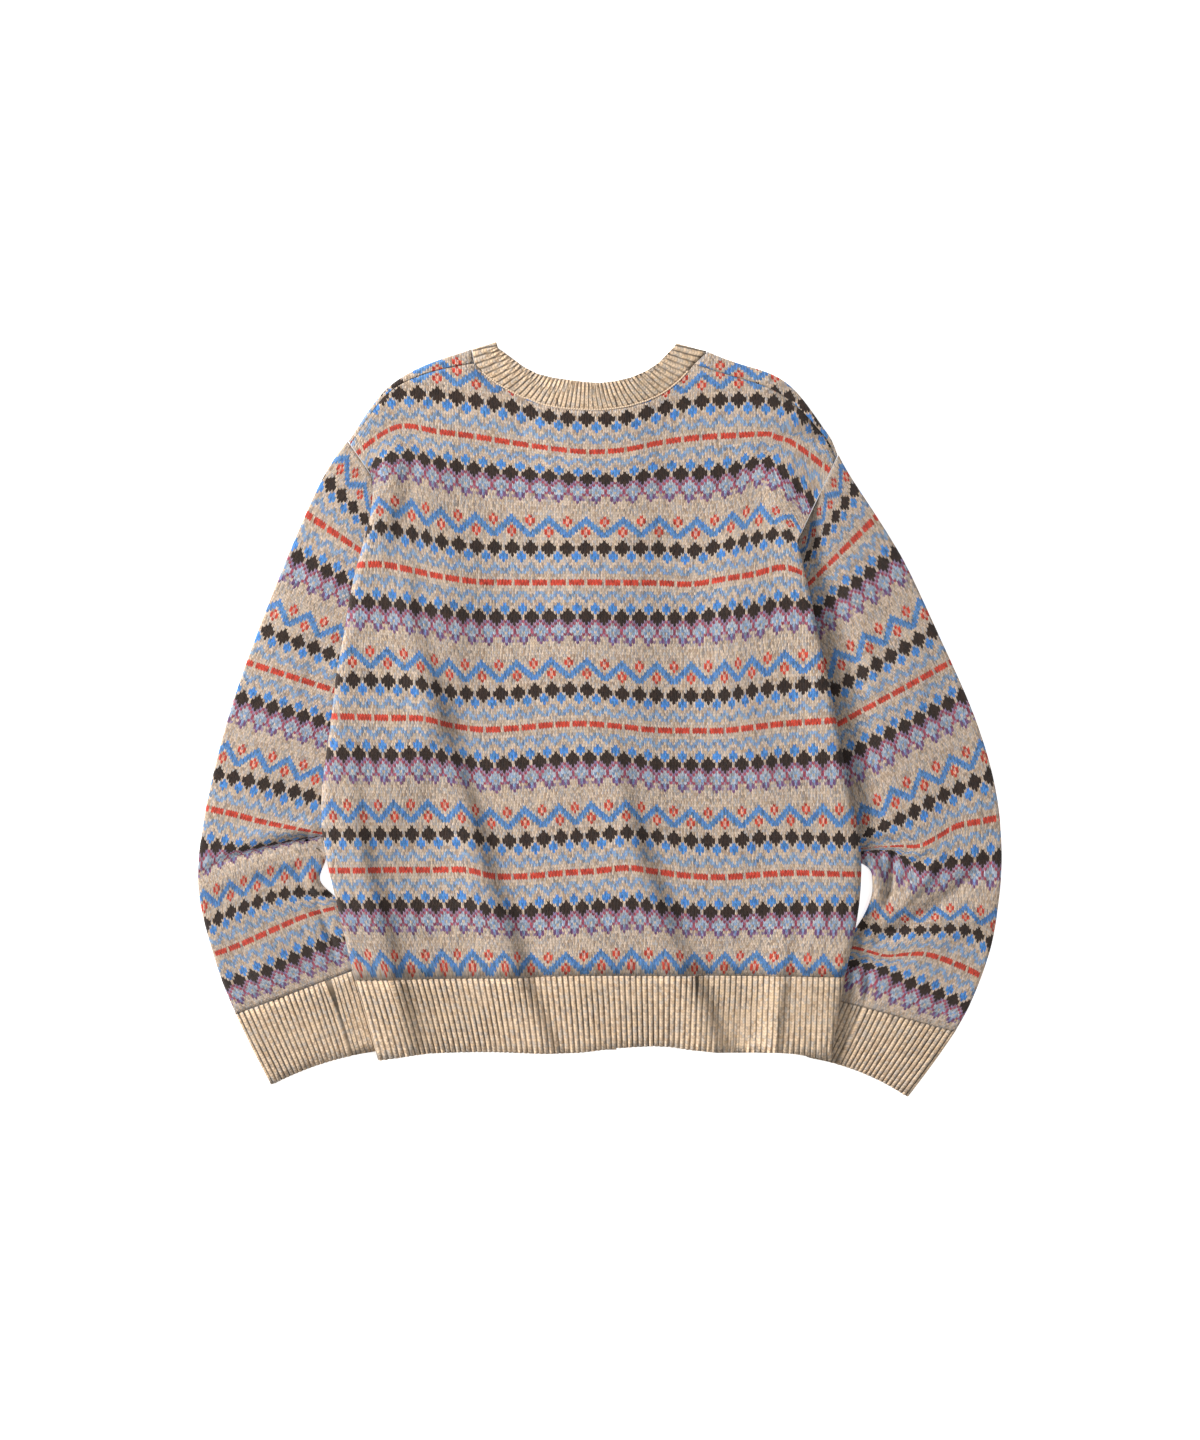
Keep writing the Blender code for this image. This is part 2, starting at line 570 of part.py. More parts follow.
def edge_normals(sign, up, rolled):
    """The side seam's normals: outwards where the edge is rolled, up or down where it is flat."""
    return unit(rolled[:, None] * np.array([sign, 0.0, 0.0]) + (1 - rolled)[:, None] * np.array([0.0, 0.0, up]))


def build_back():
    """The back panel; returns the rows at its hem seam and its neck seam, with their normals."""
    tops = []
    for side in (LEFT, RIGHT):
        ridge, down, strip = side.ridge(side.shares)
        tops.append(ridge + down * (strip + SEAM)[:, None])
    neck = along(points_of(NECK_BACK_SEAM), np.linspace(0, 1, NECK_COLUMNS + 1))
    neck[:, 1] -= SEAM
    top = np.concatenate([tops[0][:-1], neck, tops[1][::-1][1:]])
    left, right = LEFT.rows(top[0, 1]), RIGHT.rows(top[-1, 1])
    bottom = hem_line(across_of(top), left[0, 0], right[0, 0], 0.0) + (0.0, SEAM)
    grid = back_surface(patch(bottom, top, left, right), ROLLED)
    normals = grid_normals(grid)
    normals[:, 0] = edge_normals(-1, 1.0, ROLLED)
    normals[:, -1] = edge_normals(1, 1.0, ROLLED)
    normals[0] = upright(normals[0], grid[0])
    neck_part = slice(len(LEFT.shares) - 1, len(LEFT.shares) + NECK_COLUMNS)
    normals[-1, neck_part] = upright(normals[-1, neck_part], grid[-1, neck_part])
    sheet = Sheet()
    sheet.join(sheet.add(grid, normals))
    sheet.solid("back_panel", KNIT)
    return grid[0], normals[0], grid[-1, neck_part]


def build_hem_back(seam_row, seam_normals):
    """The back's hem rib, with its ribs raised."""
    plan = np.array([hem_line(across_of(seam_row), hem_side(LEFT, share), hem_side(RIGHT, share), share)
                     for share in HEM_SHARES])
    middle = back_surface(plan, np.ones(len(HEM_SHARES)))
    middle[0] = seam_row - (0.0, 2 * SEAM, 0.0)
    normals = -grid_normals(middle)
    normals[0] = seam_normals
    normals[:, 0] = (-1.0, 0.0, 0.0)
    normals[:, -1] = (1.0, 0.0, 0.0)
    ribbed_solid("hem_back", middle, normals, [(1, len(seam_row) - 2)], HEM_RIB_PITCH, RIB)


def build_front(side, neck_seam):
    """One front with its turn over the shoulder; returns the rows that the ribs join."""
    ridge, down, strip = side.ridge(side.shares)
    start = ridge + down * (HALF + CURL)
    neck = along(points_of(neck_seam), np.linspace(0, 1, FRONT_NECK_COLUMNS + 1))
    neck[1:, 1] -= SEAM
    top = np.concatenate([start, neck[1:]])
    edge = side.rows(top[0, 1])
    bottom = hem_line(across_of(top), edge[0, 0], top[-1, 0], 0.0) + (0.0, SEAM)
    up = (edge[:, 1] - edge[0, 1]) / (edge[-1, 1] - edge[0, 1])
    centre = bottom[-1] + up[:, None] * (top[-1] - bottom[-1])
    grid = front_surface(patch(bottom, top, edge, centre), ROLLED)
    normals = side.sign * grid_normals(grid)
    normals[:, 0] = edge_normals(side.sign, -1.0, ROLLED)
    normals[0] = upright(normals[0], grid[0])
    last = len(start) - 1
    normals[-1, last:] = upright(normals[-1, last:], grid[-1, last:])
    normals[-1, :last + 1] = (0.0, 0.0, -1.0)
    sheet = Sheet()
    index = sheet.add(grid, normals)
    sheet.join(index)
    low = grid[-1, :last + 1, 2]
    points, faces_out = [], []
    for angle in TURN_ANGLES:
        flat = start - down * CURL * math.cos(angle)
        points.append(np.column_stack([flat, low + CURL * (1 + math.sin(angle))]))
        faces_out.append(np.column_stack([-down * math.cos(angle), np.full(len(down), math.sin(angle))]))
    seam = ridge + down * (strip - SEAM)[:, None]
    points.append(np.column_stack([seam, back_middle(seam[:, 0], seam[:, 1])]))
    faces_out.append(np.tile((0.0, 0.0, 1.0), (len(seam), 1)))
    turn = np.array(points)
    turn_index = sheet.add(turn, np.array(faces_out))
    sheet.join(np.concatenate([index[-1:, :last + 1], turn_index]))
    sheet.solid("front_left" if side is LEFT else "front_right", KNIT)
    return grid[0], normals[0], grid[-1, last:], turn[:, -1]


def build_hem_front(side, seam_row, seam_normals):
    """One front's hem rib; its outer face lies on the floor and stays plain."""
    plan = np.array([hem_line(across_of(seam_row), hem_side(side, share), seam_row[-1, 0], share)
                     for share in HEM_SHARES])
    middle = front_surface(plan, np.ones(len(HEM_SHARES)))
    middle[0] = seam_row - (0.0, 2 * SEAM, 0.0)
    normals = -side.sign * grid_normals(middle)
    normals[0] = seam_normals
    normals[:, 0] = (side.sign, 0.0, 0.0)
    sheet = Sheet()
    sheet.join(sheet.add(middle, normals))
    sheet.solid("hem_front_left" if side is LEFT else "hem_front_right", RIB)


# ---------------------------------------------------------------- sleeves and cuffs

UPPER = np.array((0.0, 0.1, 0.2, 0.3, 0.4, 0.5, 0.62, 0.74, 0.87, 1.0))  # across the tube's top
LOWER = np.array((0.75, 0.5, 0.25))
END_ANGLES = np.radians((45.0, 0.0, -45.0))
FLOOR_FIRST = len(UPPER) + len(END_ANGLES)  # the points of a ring that lie on the floor
FLOOR_LAST = FLOOR_FIRST + len(LOWER) + 1
CAP_SHARES = (0.0, 0.4, 0.5, 1.0)  # where the sleeve's first ring passes the armhole's points
CAP_GAP = 0.35  # between the armhole and the sleeve's first ring
CREASE_FROM, CREASE_TO = (0.15, 0.65), (0.86, 1.0)  # the elbow's crease, in shares of the width
CUFF_SWELL, CUFF_VISIBLE, CUFF_RIBS_END = (0.8, 0.6, 0.4), 0.74, 7


def tube_section(outer, inner, arch, bend=None, bow=0.0):
    """One ring of a flattened tube: over the top from the outer end, and back along the floor.

    arch is the extra height of the top's points; bend, where given, is the line that the ring's plan
    follows, as points at shares of the width.
    """
    outer, inner = np.asarray(outer, float), np.asarray(inner, float)
    way = unit(inner - outer)
    towards_cuff = np.array([way[1], -way[0]]) * np.sign(way[0])
    start, end = outer + way * (HALF + CURL), inner - way * (HALF + CURL)

    def plan(share):
        line = start + share[:, None] * (end - start) - towards_cuff * (4 * bow * share * (1 - share))[:, None]
        if bend is not None:
            line = np.column_stack([np.interp(share, bend[0], bend[1][:, k]) for k in range(2)])
            line[share == 0.0], line[share == 1.0] = start, end
        return line

    def turn(point, direction, angles):
        flat = point + direction * CURL * np.cos(angles)[:, None]
        return np.column_stack([flat, HALF + CURL + CURL * np.sin(angles)])

    top = np.column_stack([plan(UPPER), HALF + LAYER + arch])
    bottom = np.column_stack([plan(LOWER), np.full(len(LOWER), HALF)])
    return np.concatenate([top, turn(end, way, END_ANGLES), [[*end, HALF]], bottom, [[*start, HALF]],
                           turn(start, -way, END_ANGLES[::-1])])


def swelling(height, visible):
    """The rounded rise of a flattened tube's top, over the part of its width that shows."""
    return height * np.sin(np.pi * np.clip(UPPER / visible, 0.0, 1.0)) ** 2


def ring_normals(rings, turn_over):
    normals = grid_normals(rings, ring=True) * turn_over
    normals[:, FLOOR_FIRST:FLOOR_LAST + 1] = (0.0, 0.0, -1.0)
    for r in (0, -1):
        line = unit(rings[r, len(UPPER) - 1] - rings[r, 0])
        length_way = unit(np.array([-line[1], line[0], 0.0]))
        normals[r] = unit(normals[r] - (normals[r] @ length_way)[:, None] * length_way)
    return normals


def build_sleeve(side, sections, underarm):
    """One sleeve, from the armhole to the cuff's seam; returns its last ring and its normals."""
    tip, end, low = points_of(side.armhole)
    away = unit(tip - end)
    outward = -side.sign * np.array([-away[1], away[0]])
    cap = np.array([tip, end, low, underarm]) + outward * CAP_GAP
    rings = []
    for r in range(len(sections["row"])):
        outer = (sections["outer_x"][r], sections["outer_y"][r])
        inner = (sections["inner_x"][r], sections["inner_y"][r])
        dip = (smoothstep((UPPER - CREASE_FROM[0]) / (CREASE_FROM[1] - CREASE_FROM[0]))
               * (1 - smoothstep((UPPER - CREASE_TO[0]) / (CREASE_TO[1] - CREASE_TO[0]))))
        arch = swelling(sections["swell"][r], sections["visible"][r]) - sections["crease"][r] * dip
        if r == 0:
            rings.append(tube_section(cap[0], cap[-1], arch, (CAP_SHARES, cap)))
        else:
            rings.append(tube_section(outer, inner, arch))
    rings = np.array(rings)
    normals = ring_normals(rings, side.sign)
    sheet = Sheet()
    sheet.join(sheet.add(rings, normals), ring=True)
    sheet.solid("sleeve_left" if side is LEFT else "sleeve_right", KNIT)
    return rings[-1], normals[-1]


def build_cuff(side, sections, seam_ring, seam_normals):
    """One cuff; its ribs are raised on top, where it isn't under the hem."""
    rings = []
    for r in range(len(sections["bow"])):
        outer = (sections["outer_x"][r], sections["outer_y"][r])
        inner = (sections["inner_x"][r], sections["inner_y"][r])
        rings.append(tube_section(outer, inner, swelling(CUFF_SWELL[r], CUFF_VISIBLE), bow=sections["bow"][r]))
    way = unit(seam_ring[len(UPPER) - 1] - seam_ring[0])
    rings[0] = seam_ring + np.array([way[1], -way[0], 0.0]) * np.sign(way[0]) * 2 * SEAM
    rings = np.array(rings)
    normals = ring_normals(rings, side.sign)
    normals[0] = seam_normals
    ribbed_solid("cuff_left" if side is LEFT else "cuff_right", rings, normals,
                 [(0, CUFF_RIBS_END)], CUFF_RIB_PITCH, RIB, ring=True)


# ---------------------------------------------------------------- neck, bands, buttons

NECK_SEAM_GAP = 0.65
FREE_DOWN_LEFT, FREE_DOWN_RIGHT = (1.2, -6.2), (-3.0, -5.0)  # the neckband's free edge at the folds
NECK_RIBS_BEFORE = 3  # the ribs start this many points before the back
BAND_COLUMNS, BAND_ROWS = 5, 13
BUTTON_POINTS = 16
BUTTON_PROFILE = (  # radius and height of the rings between the face's middle and the back's
    (5.6, 0.6), (7.0, 0.0), (8.4, 0.4), (BUTTON_RADIUS, 1.2), (8.2, 2.2),
)
BUTTON_FACE = 0.6


def free_fold(fold, down_way):
    """The neckband's free edge round the shoulder fold, from the front to the back."""
    down = unit(down_way)
    start = np.asarray(fold) + down * (HALF + CURL)
    angles = np.concatenate([[-math.pi / 2], TURN_ANGLES])
    flat = start - CURL * np.cos(angles)[:, None] * down
    return np.column_stack([flat, HALF + CURL + CURL * np.sin(angles)])


def build_neckband(left, back_row, right):
    """The neck rib, from the left front edge over the left shoulder, the back and the right shoulder."""
    shares = np.linspace(0, 1, FRONT_NECK_COLUMNS + 1)
    free_left, free_right = [along(points_of(curve), shares)
                             for curve in (NECK_FRONT_FREE_LEFT, NECK_FRONT_FREE_RIGHT)]
    free_left, free_right = [np.column_stack([plan, front_middle(plan[:, 0], plan[:, 1])])
                             for plan in (free_left[::-1], free_right)]
    back = along(points_of(NECK_BACK_FREE), np.linspace(0, 1, NECK_COLUMNS + 1))
    free = np.concatenate([
        free_left[:-1], free_fold(NECK_FOLD_FREE_LEFT, FREE_DOWN_LEFT),
        np.column_stack([back, back_middle(back[:, 0], back[:, 1])]),
        free_fold(NECK_FOLD_FREE_RIGHT, FREE_DOWN_RIGHT)[::-1], free_right[1:]])
    seam = np.concatenate([left[0][::-1], left[1][:-1], back_row, right[1][:-1][::-1], right[0]])
    out = np.column_stack([unit(free[:, :2] - seam[:, :2]), np.zeros(len(seam))])
    seam = seam + out * NECK_SEAM_GAP
    middle = np.array([seam, (seam + free) / 2, free])
    normals = grid_normals(middle)
    normals[0] = unit(normals[0] - (normals[0] * out).sum(axis=1, keepdims=True) * out)
    first_back = len(left[0]) + len(TURN_ANGLES)
    spans = [(first_back - NECK_RIBS_BEFORE, first_back + NECK_COLUMNS + NECK_RIBS_BEFORE)]
    ribbed_solid("neckband", middle, normals, spans, NECK_RIB_PITCH, RIB)


def build_band(name, rise, bottom, top):
    """One button band, flat at its height."""
    half = BAND_HALF - SEAM
    x, y = np.meshgrid(np.linspace(-half, half, BAND_COLUMNS), np.linspace(bottom, top, BAND_ROWS))
    grid = np.stack([x, y, np.full(x.shape, rise + HALF)], axis=-1)
    sheet = Sheet()
    sheet.join(sheet.add(grid, np.tile((0.0, 0.0, 1.0), (*x.shape, 1))))
    sheet.solid(name, RIB)


def build_button(name, y):
    """A turned button whose rim stands a little proud of its face; the face lies on the floor."""
    angles = 2 * math.pi * np.arange(BUTTON_POINTS) / BUTTON_POINTS
    points = [(0.0, y, BUTTON_FACE)]
    for radius, height in BUTTON_PROFILE:
        points += [(radius * math.cos(a), y + radius * math.sin(a), height) for a in angles]
    points.append((0.0, y, BUTTON_THICK))
    ahead = [(k, (k + 1) % BUTTON_POINTS) for k in range(BUTTON_POINTS)]
    faces = [(0, 1 + b, 1 + a) for a, b in ahead]
    for r in range(len(BUTTON_PROFILE) - 1):
        low, high = 1 + r * BUTTON_POINTS, 1 + (r + 1) * BUTTON_POINTS
        faces += [(low + a, low + b, high + b, high + a) for a, b in ahead]
    faces += [(high + a, high + b, len(points) - 1) for a, b in ahead]
    add_object(name, points, faces, HORN)


def main():
    for old in list(bpy.data.objects):
        bpy.data.objects.remove(old, do_unlink=True)
    hem_row, hem_normals, neck_row = build_back()
    build_hem_back(hem_row, hem_normals)
    necks = []
    for side, neck_seam, sleeve, underarm, cuff in (
            (LEFT, NECK_FRONT_SEAM_LEFT, SLEEVE_LEFT, HIDDEN_UNDERARM_LEFT, CUFF_LEFT),
            (RIGHT, NECK_FRONT_SEAM_RIGHT, SLEEVE_RIGHT, HIDDEN_UNDERARM_RIGHT, CUFF_RIGHT)):
        seam_row, seam_normals, neck, fold = build_front(side, neck_seam)
        build_hem_front(side, seam_row, seam_normals)
        necks.append((neck, fold))
        build_cuff(side, cuff, *build_sleeve(side, sleeve, underarm))
    build_neckband(necks[0], neck_row, necks[1])
    bottom, top = float(smooth(0.0, HEM_END["x"], HEM_END["y"])), NECK_FRONT_FREE_LEFT["y"][-1]
    build_band("button_band_left", BAND_RISE_LEFT, bottom, top)
    build_band("button_band_right", BAND_RISE_RIGHT, bottom, top)
    for number, y in enumerate(np.linspace(top - BUTTON_MARGIN, bottom + BUTTON_MARGIN, BUTTON_COUNT), 1):
        build_button(f"button_{number}", y)


main()
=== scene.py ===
# %% [markdown]
# # A nordic cardigan, laid flat with its back up
#
# The cardigan is knitted in bands of coloured motifs, with ribbed edges. It lies on a white floor with its
# sleeves bent, and light comes in low from the upper left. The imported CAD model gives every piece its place
# and its size. Here each plain solid is replaced by a fine cloth shell on the same form, with its creases,
# its ribs and its knitted pattern.

import math

import bmesh
import bpy
import numpy as np
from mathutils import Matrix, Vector
from mathutils.kdtree import KDTree


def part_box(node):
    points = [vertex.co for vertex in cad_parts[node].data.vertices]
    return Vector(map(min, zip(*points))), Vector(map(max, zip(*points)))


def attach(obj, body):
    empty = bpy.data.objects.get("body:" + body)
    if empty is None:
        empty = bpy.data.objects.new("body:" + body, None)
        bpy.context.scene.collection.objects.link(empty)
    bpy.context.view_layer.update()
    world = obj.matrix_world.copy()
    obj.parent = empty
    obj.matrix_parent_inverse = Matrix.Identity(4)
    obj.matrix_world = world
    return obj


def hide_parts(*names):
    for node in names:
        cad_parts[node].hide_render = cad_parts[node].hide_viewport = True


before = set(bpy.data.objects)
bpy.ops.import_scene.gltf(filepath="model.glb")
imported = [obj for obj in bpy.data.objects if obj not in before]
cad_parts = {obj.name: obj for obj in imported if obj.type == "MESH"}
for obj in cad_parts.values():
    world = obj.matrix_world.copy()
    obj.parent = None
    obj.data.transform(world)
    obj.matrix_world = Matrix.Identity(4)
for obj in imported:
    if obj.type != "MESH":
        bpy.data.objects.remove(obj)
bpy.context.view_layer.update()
MM = 0.001
CENTRE = np.array([0.25, -0.9, 0.0])  # mm: where the drawing's middle lies, from the frame's origin

# %% [markdown]
# ## Smooth curves through short tables
#
# Creases and knitted rows are given as short tables of points. A smooth curve runs through each table. One
# cubic joins each two neighbours, and the slopes at the points decide its kind: smooth() never overshoots its
# points, so a table can be read at a glance, and curve_through() is rounder, for lines that wave.


# %% Curves
def smoothstep(t):
    t = np.clip(t, 0.0, 1.0)
    return t * t * (3.0 - 2.0 * t)


def cubic(t, step, i, ys, slopes):
    """The cubic that leaves point i and reaches the next one at their slopes; t runs from 0 to 1."""
    return ((2 * t**3 - 3 * t**2 + 1) * ys[i] + (t**3 - 2 * t**2 + t) * step * slopes[i]
            + (3 * t**2 - 2 * t**3) * ys[i + 1] + (t**3 - t**2) * step * slopes[i + 1])


def smooth(q, xs, ys):
    """A smooth curve through a table's points that never overshoots them."""
    xs, ys = np.asarray(xs, float), np.asarray(ys, float)
    h = np.diff(xs)
    slope = np.diff(ys) / h
    m = np.concatenate(([slope[0]], np.zeros(len(h) - 1), [slope[-1]]))
    for i in range(1, len(h)):
        if slope[i - 1] * slope[i] > 0:
            w1, w2 = 2 * h[i] + h[i - 1], h[i] + 2 * h[i - 1]
            m[i] = (w1 + w2) / (w1 / slope[i - 1] + w2 / slope[i])
    q = np.clip(q, xs[0], xs[-1])
    i = np.clip(np.searchsorted(xs, q) - 1, 0, len(h) - 1)
    return cubic((q - xs[i]) / h[i], h[i], i, ys, m)


def smooth_or_straight(q, xs, ys):
    """smooth() between the points, straight on past the first and the last."""
    start, end = (ys[1] - ys[0]) / (xs[1] - xs[0]), (ys[-1] - ys[-2]) / (xs[-1] - xs[-2])
    return smooth(q, xs, ys) + np.minimum(q - xs[0], 0.0) * start + np.maximum(q - xs[-1], 0.0) * end


def curve_through(q, xs, ys):
    """A rounder curve than smooth(), straight on past its ends."""
    slopes = np.gradient(ys, xs)
    i = np.clip(np.searchsorted(xs, q) - 1, 0, len(xs) - 2)
    h = xs[i + 1] - xs[i]
    inside = cubic(np.clip((q - xs[i]) / h, 0.0, 1.0), h, i, ys, slopes)
    return inside + np.minimum(q - xs[0], 0.0) * slopes[0] + np.maximum(q - xs[-1], 0.0) * slopes[-1]


# %% [markdown]
# ## From CAD solid to soft cloth
#
# A imported solid is a mesh of loose triangles. A copy of it is merged and its triangles are joined to quads,
# and a Subdivision Surface rounds it. Edges where the wall is cut off, such as a seam's, keep their crease,
# so that neighbouring pieces still meet. The result is a plain mesh whose points are then moved by the listed
# folds.

# %% Copy and smooth a solid
CUT_EDGE = math.radians(50)  # a sharper edge than this is the wall's cut edge
CUT_CORNER = math.radians(28)  # a cut edge that turns by more than this keeps its corner
SAME_POINT = 1e-5  # metres: points of the solid that are closer than this are one
QUAD_BEND, QUAD_SKEW = math.radians(28), math.radians(80)  # two triangles within these angles make a quad


def merged_copy(node):
    """The solid's mesh with its triangles merged and joined to quads."""
    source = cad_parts[node]
    shell = bmesh.new()
    shell.from_mesh(source.data)
    shell.transform(source.matrix_world)
    bmesh.ops.remove_doubles(shell, verts=shell.verts, dist=SAME_POINT)
    bmesh.ops.join_triangles(shell, faces=shell.faces, angle_face_threshold=QUAD_BEND,
                             angle_shape_threshold=QUAD_SKEW)
    edge_crease = shell.edges.layers.float.new("crease_edge")
    corner_crease = shell.verts.layers.float.new("crease_vert")
    for edge in shell.edges:
        if edge.calc_face_angle(0.0) > CUT_EDGE:
            edge[edge_crease] = 1.0
    for vert in shell.verts:
        cut = [edge for edge in vert.link_edges if edge[edge_crease] > 0]
        if len(cut) == 2:
            a, b = [(edge.other_vert(vert).co - vert.co) for edge in cut]
            if math.pi - a.angle(b, math.pi) > CUT_CORNER:
                vert[corner_crease] = 1.0
    return shell


def smoothed(shell, name, levels):
    """A new object with the shell's subdivided mesh; the shell's own layers come along."""
    coarse = bpy.data.meshes.new(name)
    shell.to_mesh(coarse)
    shell.free()
    piece = bpy.data.objects.new(name, coarse)
    bpy.context.scene.collection.objects.link(piece)
    rounding = piece.modifiers.new("rounding", "SUBSURF")
    rounding.levels = rounding.render_levels = levels
    fine = bpy.data.meshes.new_from_object(piece.evaluated_get(bpy.context.evaluated_depsgraph_get()))
    piece.modifiers.clear()
    piece.data = fine
    fine.name = name
    bpy.data.meshes.remove(coarse)
    return piece


def points_of(piece):
    """The mesh's points in millimetres, in the drawing's frame."""
    flat = np.empty(len(piece.data.vertices) * 3)
    piece.data.vertices.foreach_get("co", flat)
    return flat.reshape(-1, 3) / MM - CENTRE


def move_points(piece, points):
    piece.data.vertices.foreach_set("co", ((points + CENTRE) * MM).ravel())
    piece.data.update()


def corner_points(piece):
    """The point number at each face corner, and the number of each corner's face."""
    corners = np.empty(len(piece.data.loops), int)
    piece.data.loops.foreach_get("vertex_index", corners)
    totals = np.empty(len(piece.data.polygons), int)
    piece.data.polygons.foreach_get("loop_total", totals)
    return corners, np.repeat(np.arange(len(totals)), totals)


def point_normals(piece):
    flat = np.empty(len(piece.data.vertices) * 3)
    piece.data.vertex_normals.foreach_get("vector", flat)
    return flat.reshape(-1, 3)


def write_uv(piece, name, uv):
    layer = piece.data.uv_layers.new(name=name)
    layer.data.foreach_set("uv", np.asarray(uv, float).ravel())


def triangles(piece):
    return sum(len(p.vertices) - 2 for p in piece.data.polygons)


def dressed(piece, material):
    """The piece with its material and smooth shading."""
    piece.data.materials.clear()
    piece.data.materials.append(material)
    piece.data.shade_smooth()
    print(piece.name, triangles(piece), "triangles")
    return piece


# %% [markdown]
# ## Shader maths in plain Python
#
# A pattern of stitches needs a lot of arithmetic on the stitch and row numbers. Written by hand, that is
# dozens of Math nodes. A small class wraps one socket and overloads Python's operators, so that a line of
# arithmetic adds its nodes by itself.


# %% Node helpers
class Value:
    """One number socket; arithmetic on it adds Math nodes."""

    def __init__(self, finish, socket):
        self.finish, self.socket = finish, socket

    def maths(self, operation, *others):
        values = {0: self, **{k + 1: other for k, other in enumerate(others)}}
        made = self.finish.node("ShaderNodeMath", {"operation": operation}, values)
        return Value(self.finish, made.outputs[0])

    def __add__(self, other):
        return self.maths("ADD", other)

    def __sub__(self, other):
        return self.maths("SUBTRACT", other)

    def __rsub__(self, other):
        return (self * -1.0) + other

    def __mul__(self, other):
        return self.maths("MULTIPLY", other)

    def __truediv__(self, other):
        return self.maths("DIVIDE", other)

    __radd__, __rmul__ = __add__, __mul__

    def floor(self):
        return self.maths("FLOOR")

    def part(self):
        return self.maths("FRACT")

    def size(self):
        return self.maths("ABSOLUTE")

    def power(self, other):
        return self.maths("POWER", other)

    def least(self, other):
        return self.maths("MINIMUM", other)

    def most(self, other):
        return self.maths("MAXIMUM", other)

    def above(self, other):
        return self.maths("GREATER_THAN", other)

    def between(self, low, high):
        """0 at low, 1 at high, smooth in between."""
        step = self.finish.node("ShaderNodeMapRange", {"interpolation_type": "SMOOTHSTEP"},
                                {"Value": self, "From Min": low, "From Max": high})
        return Value(self.finish, step.outputs["Result"])


class Finish:
    """A material under construction."""

    def __init__(self, name):
        self.material = bpy.data.materials.new(name)
        self.material.use_nodes = True
        self.tree = self.material.node_tree
        self.shader = self.tree.nodes["Principled BSDF"]

    def node(self, kind, settings=None, values=None):
        """A node with its settings made first, then its sockets' values or links."""
        made = self.tree.nodes.new(kind)
        for setting, value in (settings or {}).items():
            setattr(made, setting, value)
        for key, value in (values or {}).items():
            self.feed(made.inputs[key], value)
        return made

    def feed(self, socket, value):
        if isinstance(value, Value):
            value = value.socket
        if isinstance(value, bpy.types.NodeSocket):
            self.tree.links.new(value, socket)
        else:
            socket.default_value = value

    def mix(self, factor, first, second, blend="MIX"):
        """A colour between two colours."""
        made = self.node("ShaderNodeMix", {"data_type": "RGBA", "blend_type": blend, "clamp_factor": True},
                         {0: factor, 6: first, 7: second})
        return made.outputs[2]

    def scaled(self, colour, factor):
        """A colour made darker or lighter."""
        made = self.node("ShaderNodeVectorMath", {"operation": "SCALE"}, {0: colour, "Scale": factor})
        return made.outputs[0]

    def place(self, uv_name):
        """The two numbers of a UV map."""
        split = self.node("ShaderNodeSeparateXYZ", values={
            0: self.node("ShaderNodeUVMap", {"uv_map": uv_name}).outputs[0]})
        return Value(self, split.outputs[0]), Value(self, split.outputs[1])

    def chance(self, x, y, seed):
        """An even random number for each whole x and y."""
        pair = self.node("ShaderNodeCombineXYZ", values={0: x, 1: y, 2: seed})
        noise = self.node("ShaderNodeTexWhiteNoise", {"noise_dimensions": "3D"}, {"Vector": pair.outputs[0]})
        return Value(self, noise.outputs["Value"])

    def cloudy(self, scale, detail=2.0):
        """Soft noise in the object's own space; scale is in clouds per metre."""
        space = self.node("ShaderNodeTexCoord").outputs["Object"]
        noise = self.node("ShaderNodeTexNoise", {}, {"Vector": space, "Scale": scale, "Detail": detail})
        return Value(self, noise.outputs["Fac"])

    def relief(self, height, depth):
        """Bumps of this depth, in metres, on the shader's normal."""
        bump = self.node("ShaderNodeBump", {}, {"Height": height, "Distance": depth, "Strength": 1.0})
        self.feed(self.shader.inputs["Normal"], bump.outputs["Normal"])


def colour(red, green, blue):
    """A colour given as it looks on a screen, 0 to 255."""
    shares = (red / 255, green / 255, blue / 255)
    return (*(c / 12.92 if c <= 0.04 else ((c + 0.055) / 1.055) ** 2.4 for c in shares), 1.0)


# %% [markdown]
# ## The knitting chart
#
# The bands are a traditional stranded pattern, so they are written as a knitter's chart. Each word is one row
# of stitches, from the neck downwards. Seven letters are enough for a repeat of twelve stitches, because the
# motifs are mirrored: the first letter stands on the big zigzag's peak and the last one in its valley.

# %% Yarn colours and chart
YARN = {
    ".": colour(218, 196, 176),  # oatmeal ground
    "K": colour(58, 42, 34),  # dark brown
    "B": colour(88, 152, 226),  # bright blue
    "l": colour(150, 176, 210),  # light blue
    "m": colour(100, 150, 210),  # middle blue
    "R": colour(222, 78, 60),  # coral red
    "o": colour(240, 178, 156),  # the pale middle of a red dot
    "C": colour(176, 84, 104),  # crimson lines of the net
    "V": colour(134, 92, 130),  # purple
    "v": colour(166, 140, 166),  # pale purple
    "p": colour(150, 150, 190),  # periwinkle
    "g": colour(188, 194, 206),  # pale grey blue inside the net
}
CHART_ROWS = """
K.....K KK...KK KKK.KKK KKK.KKK KK.B.KK K.BBB.K ..BBB.. ...B...
l.....l ll...ll .ll.ll. ..lll.. ....... ....... .RRRRR. .RRRRR.
....... ....... ..lll.. .ll.ll. ll...ll l.....l ...B... ..BBB..
K.BBB.K KK.B.KK KKK.KKK KKK.KKK KKvCvKK KvCgCvK vCgggCv CgglggC
Cgl.lgC vCgggCv ..VlV.. .vVpV.. ...V... ....... ....... .......
....... ....... m.....R mm...Ro mmm..Ro .mmm..R R.mmm.. oR.mmm.
oR..mmm R....mm .......
""".split()
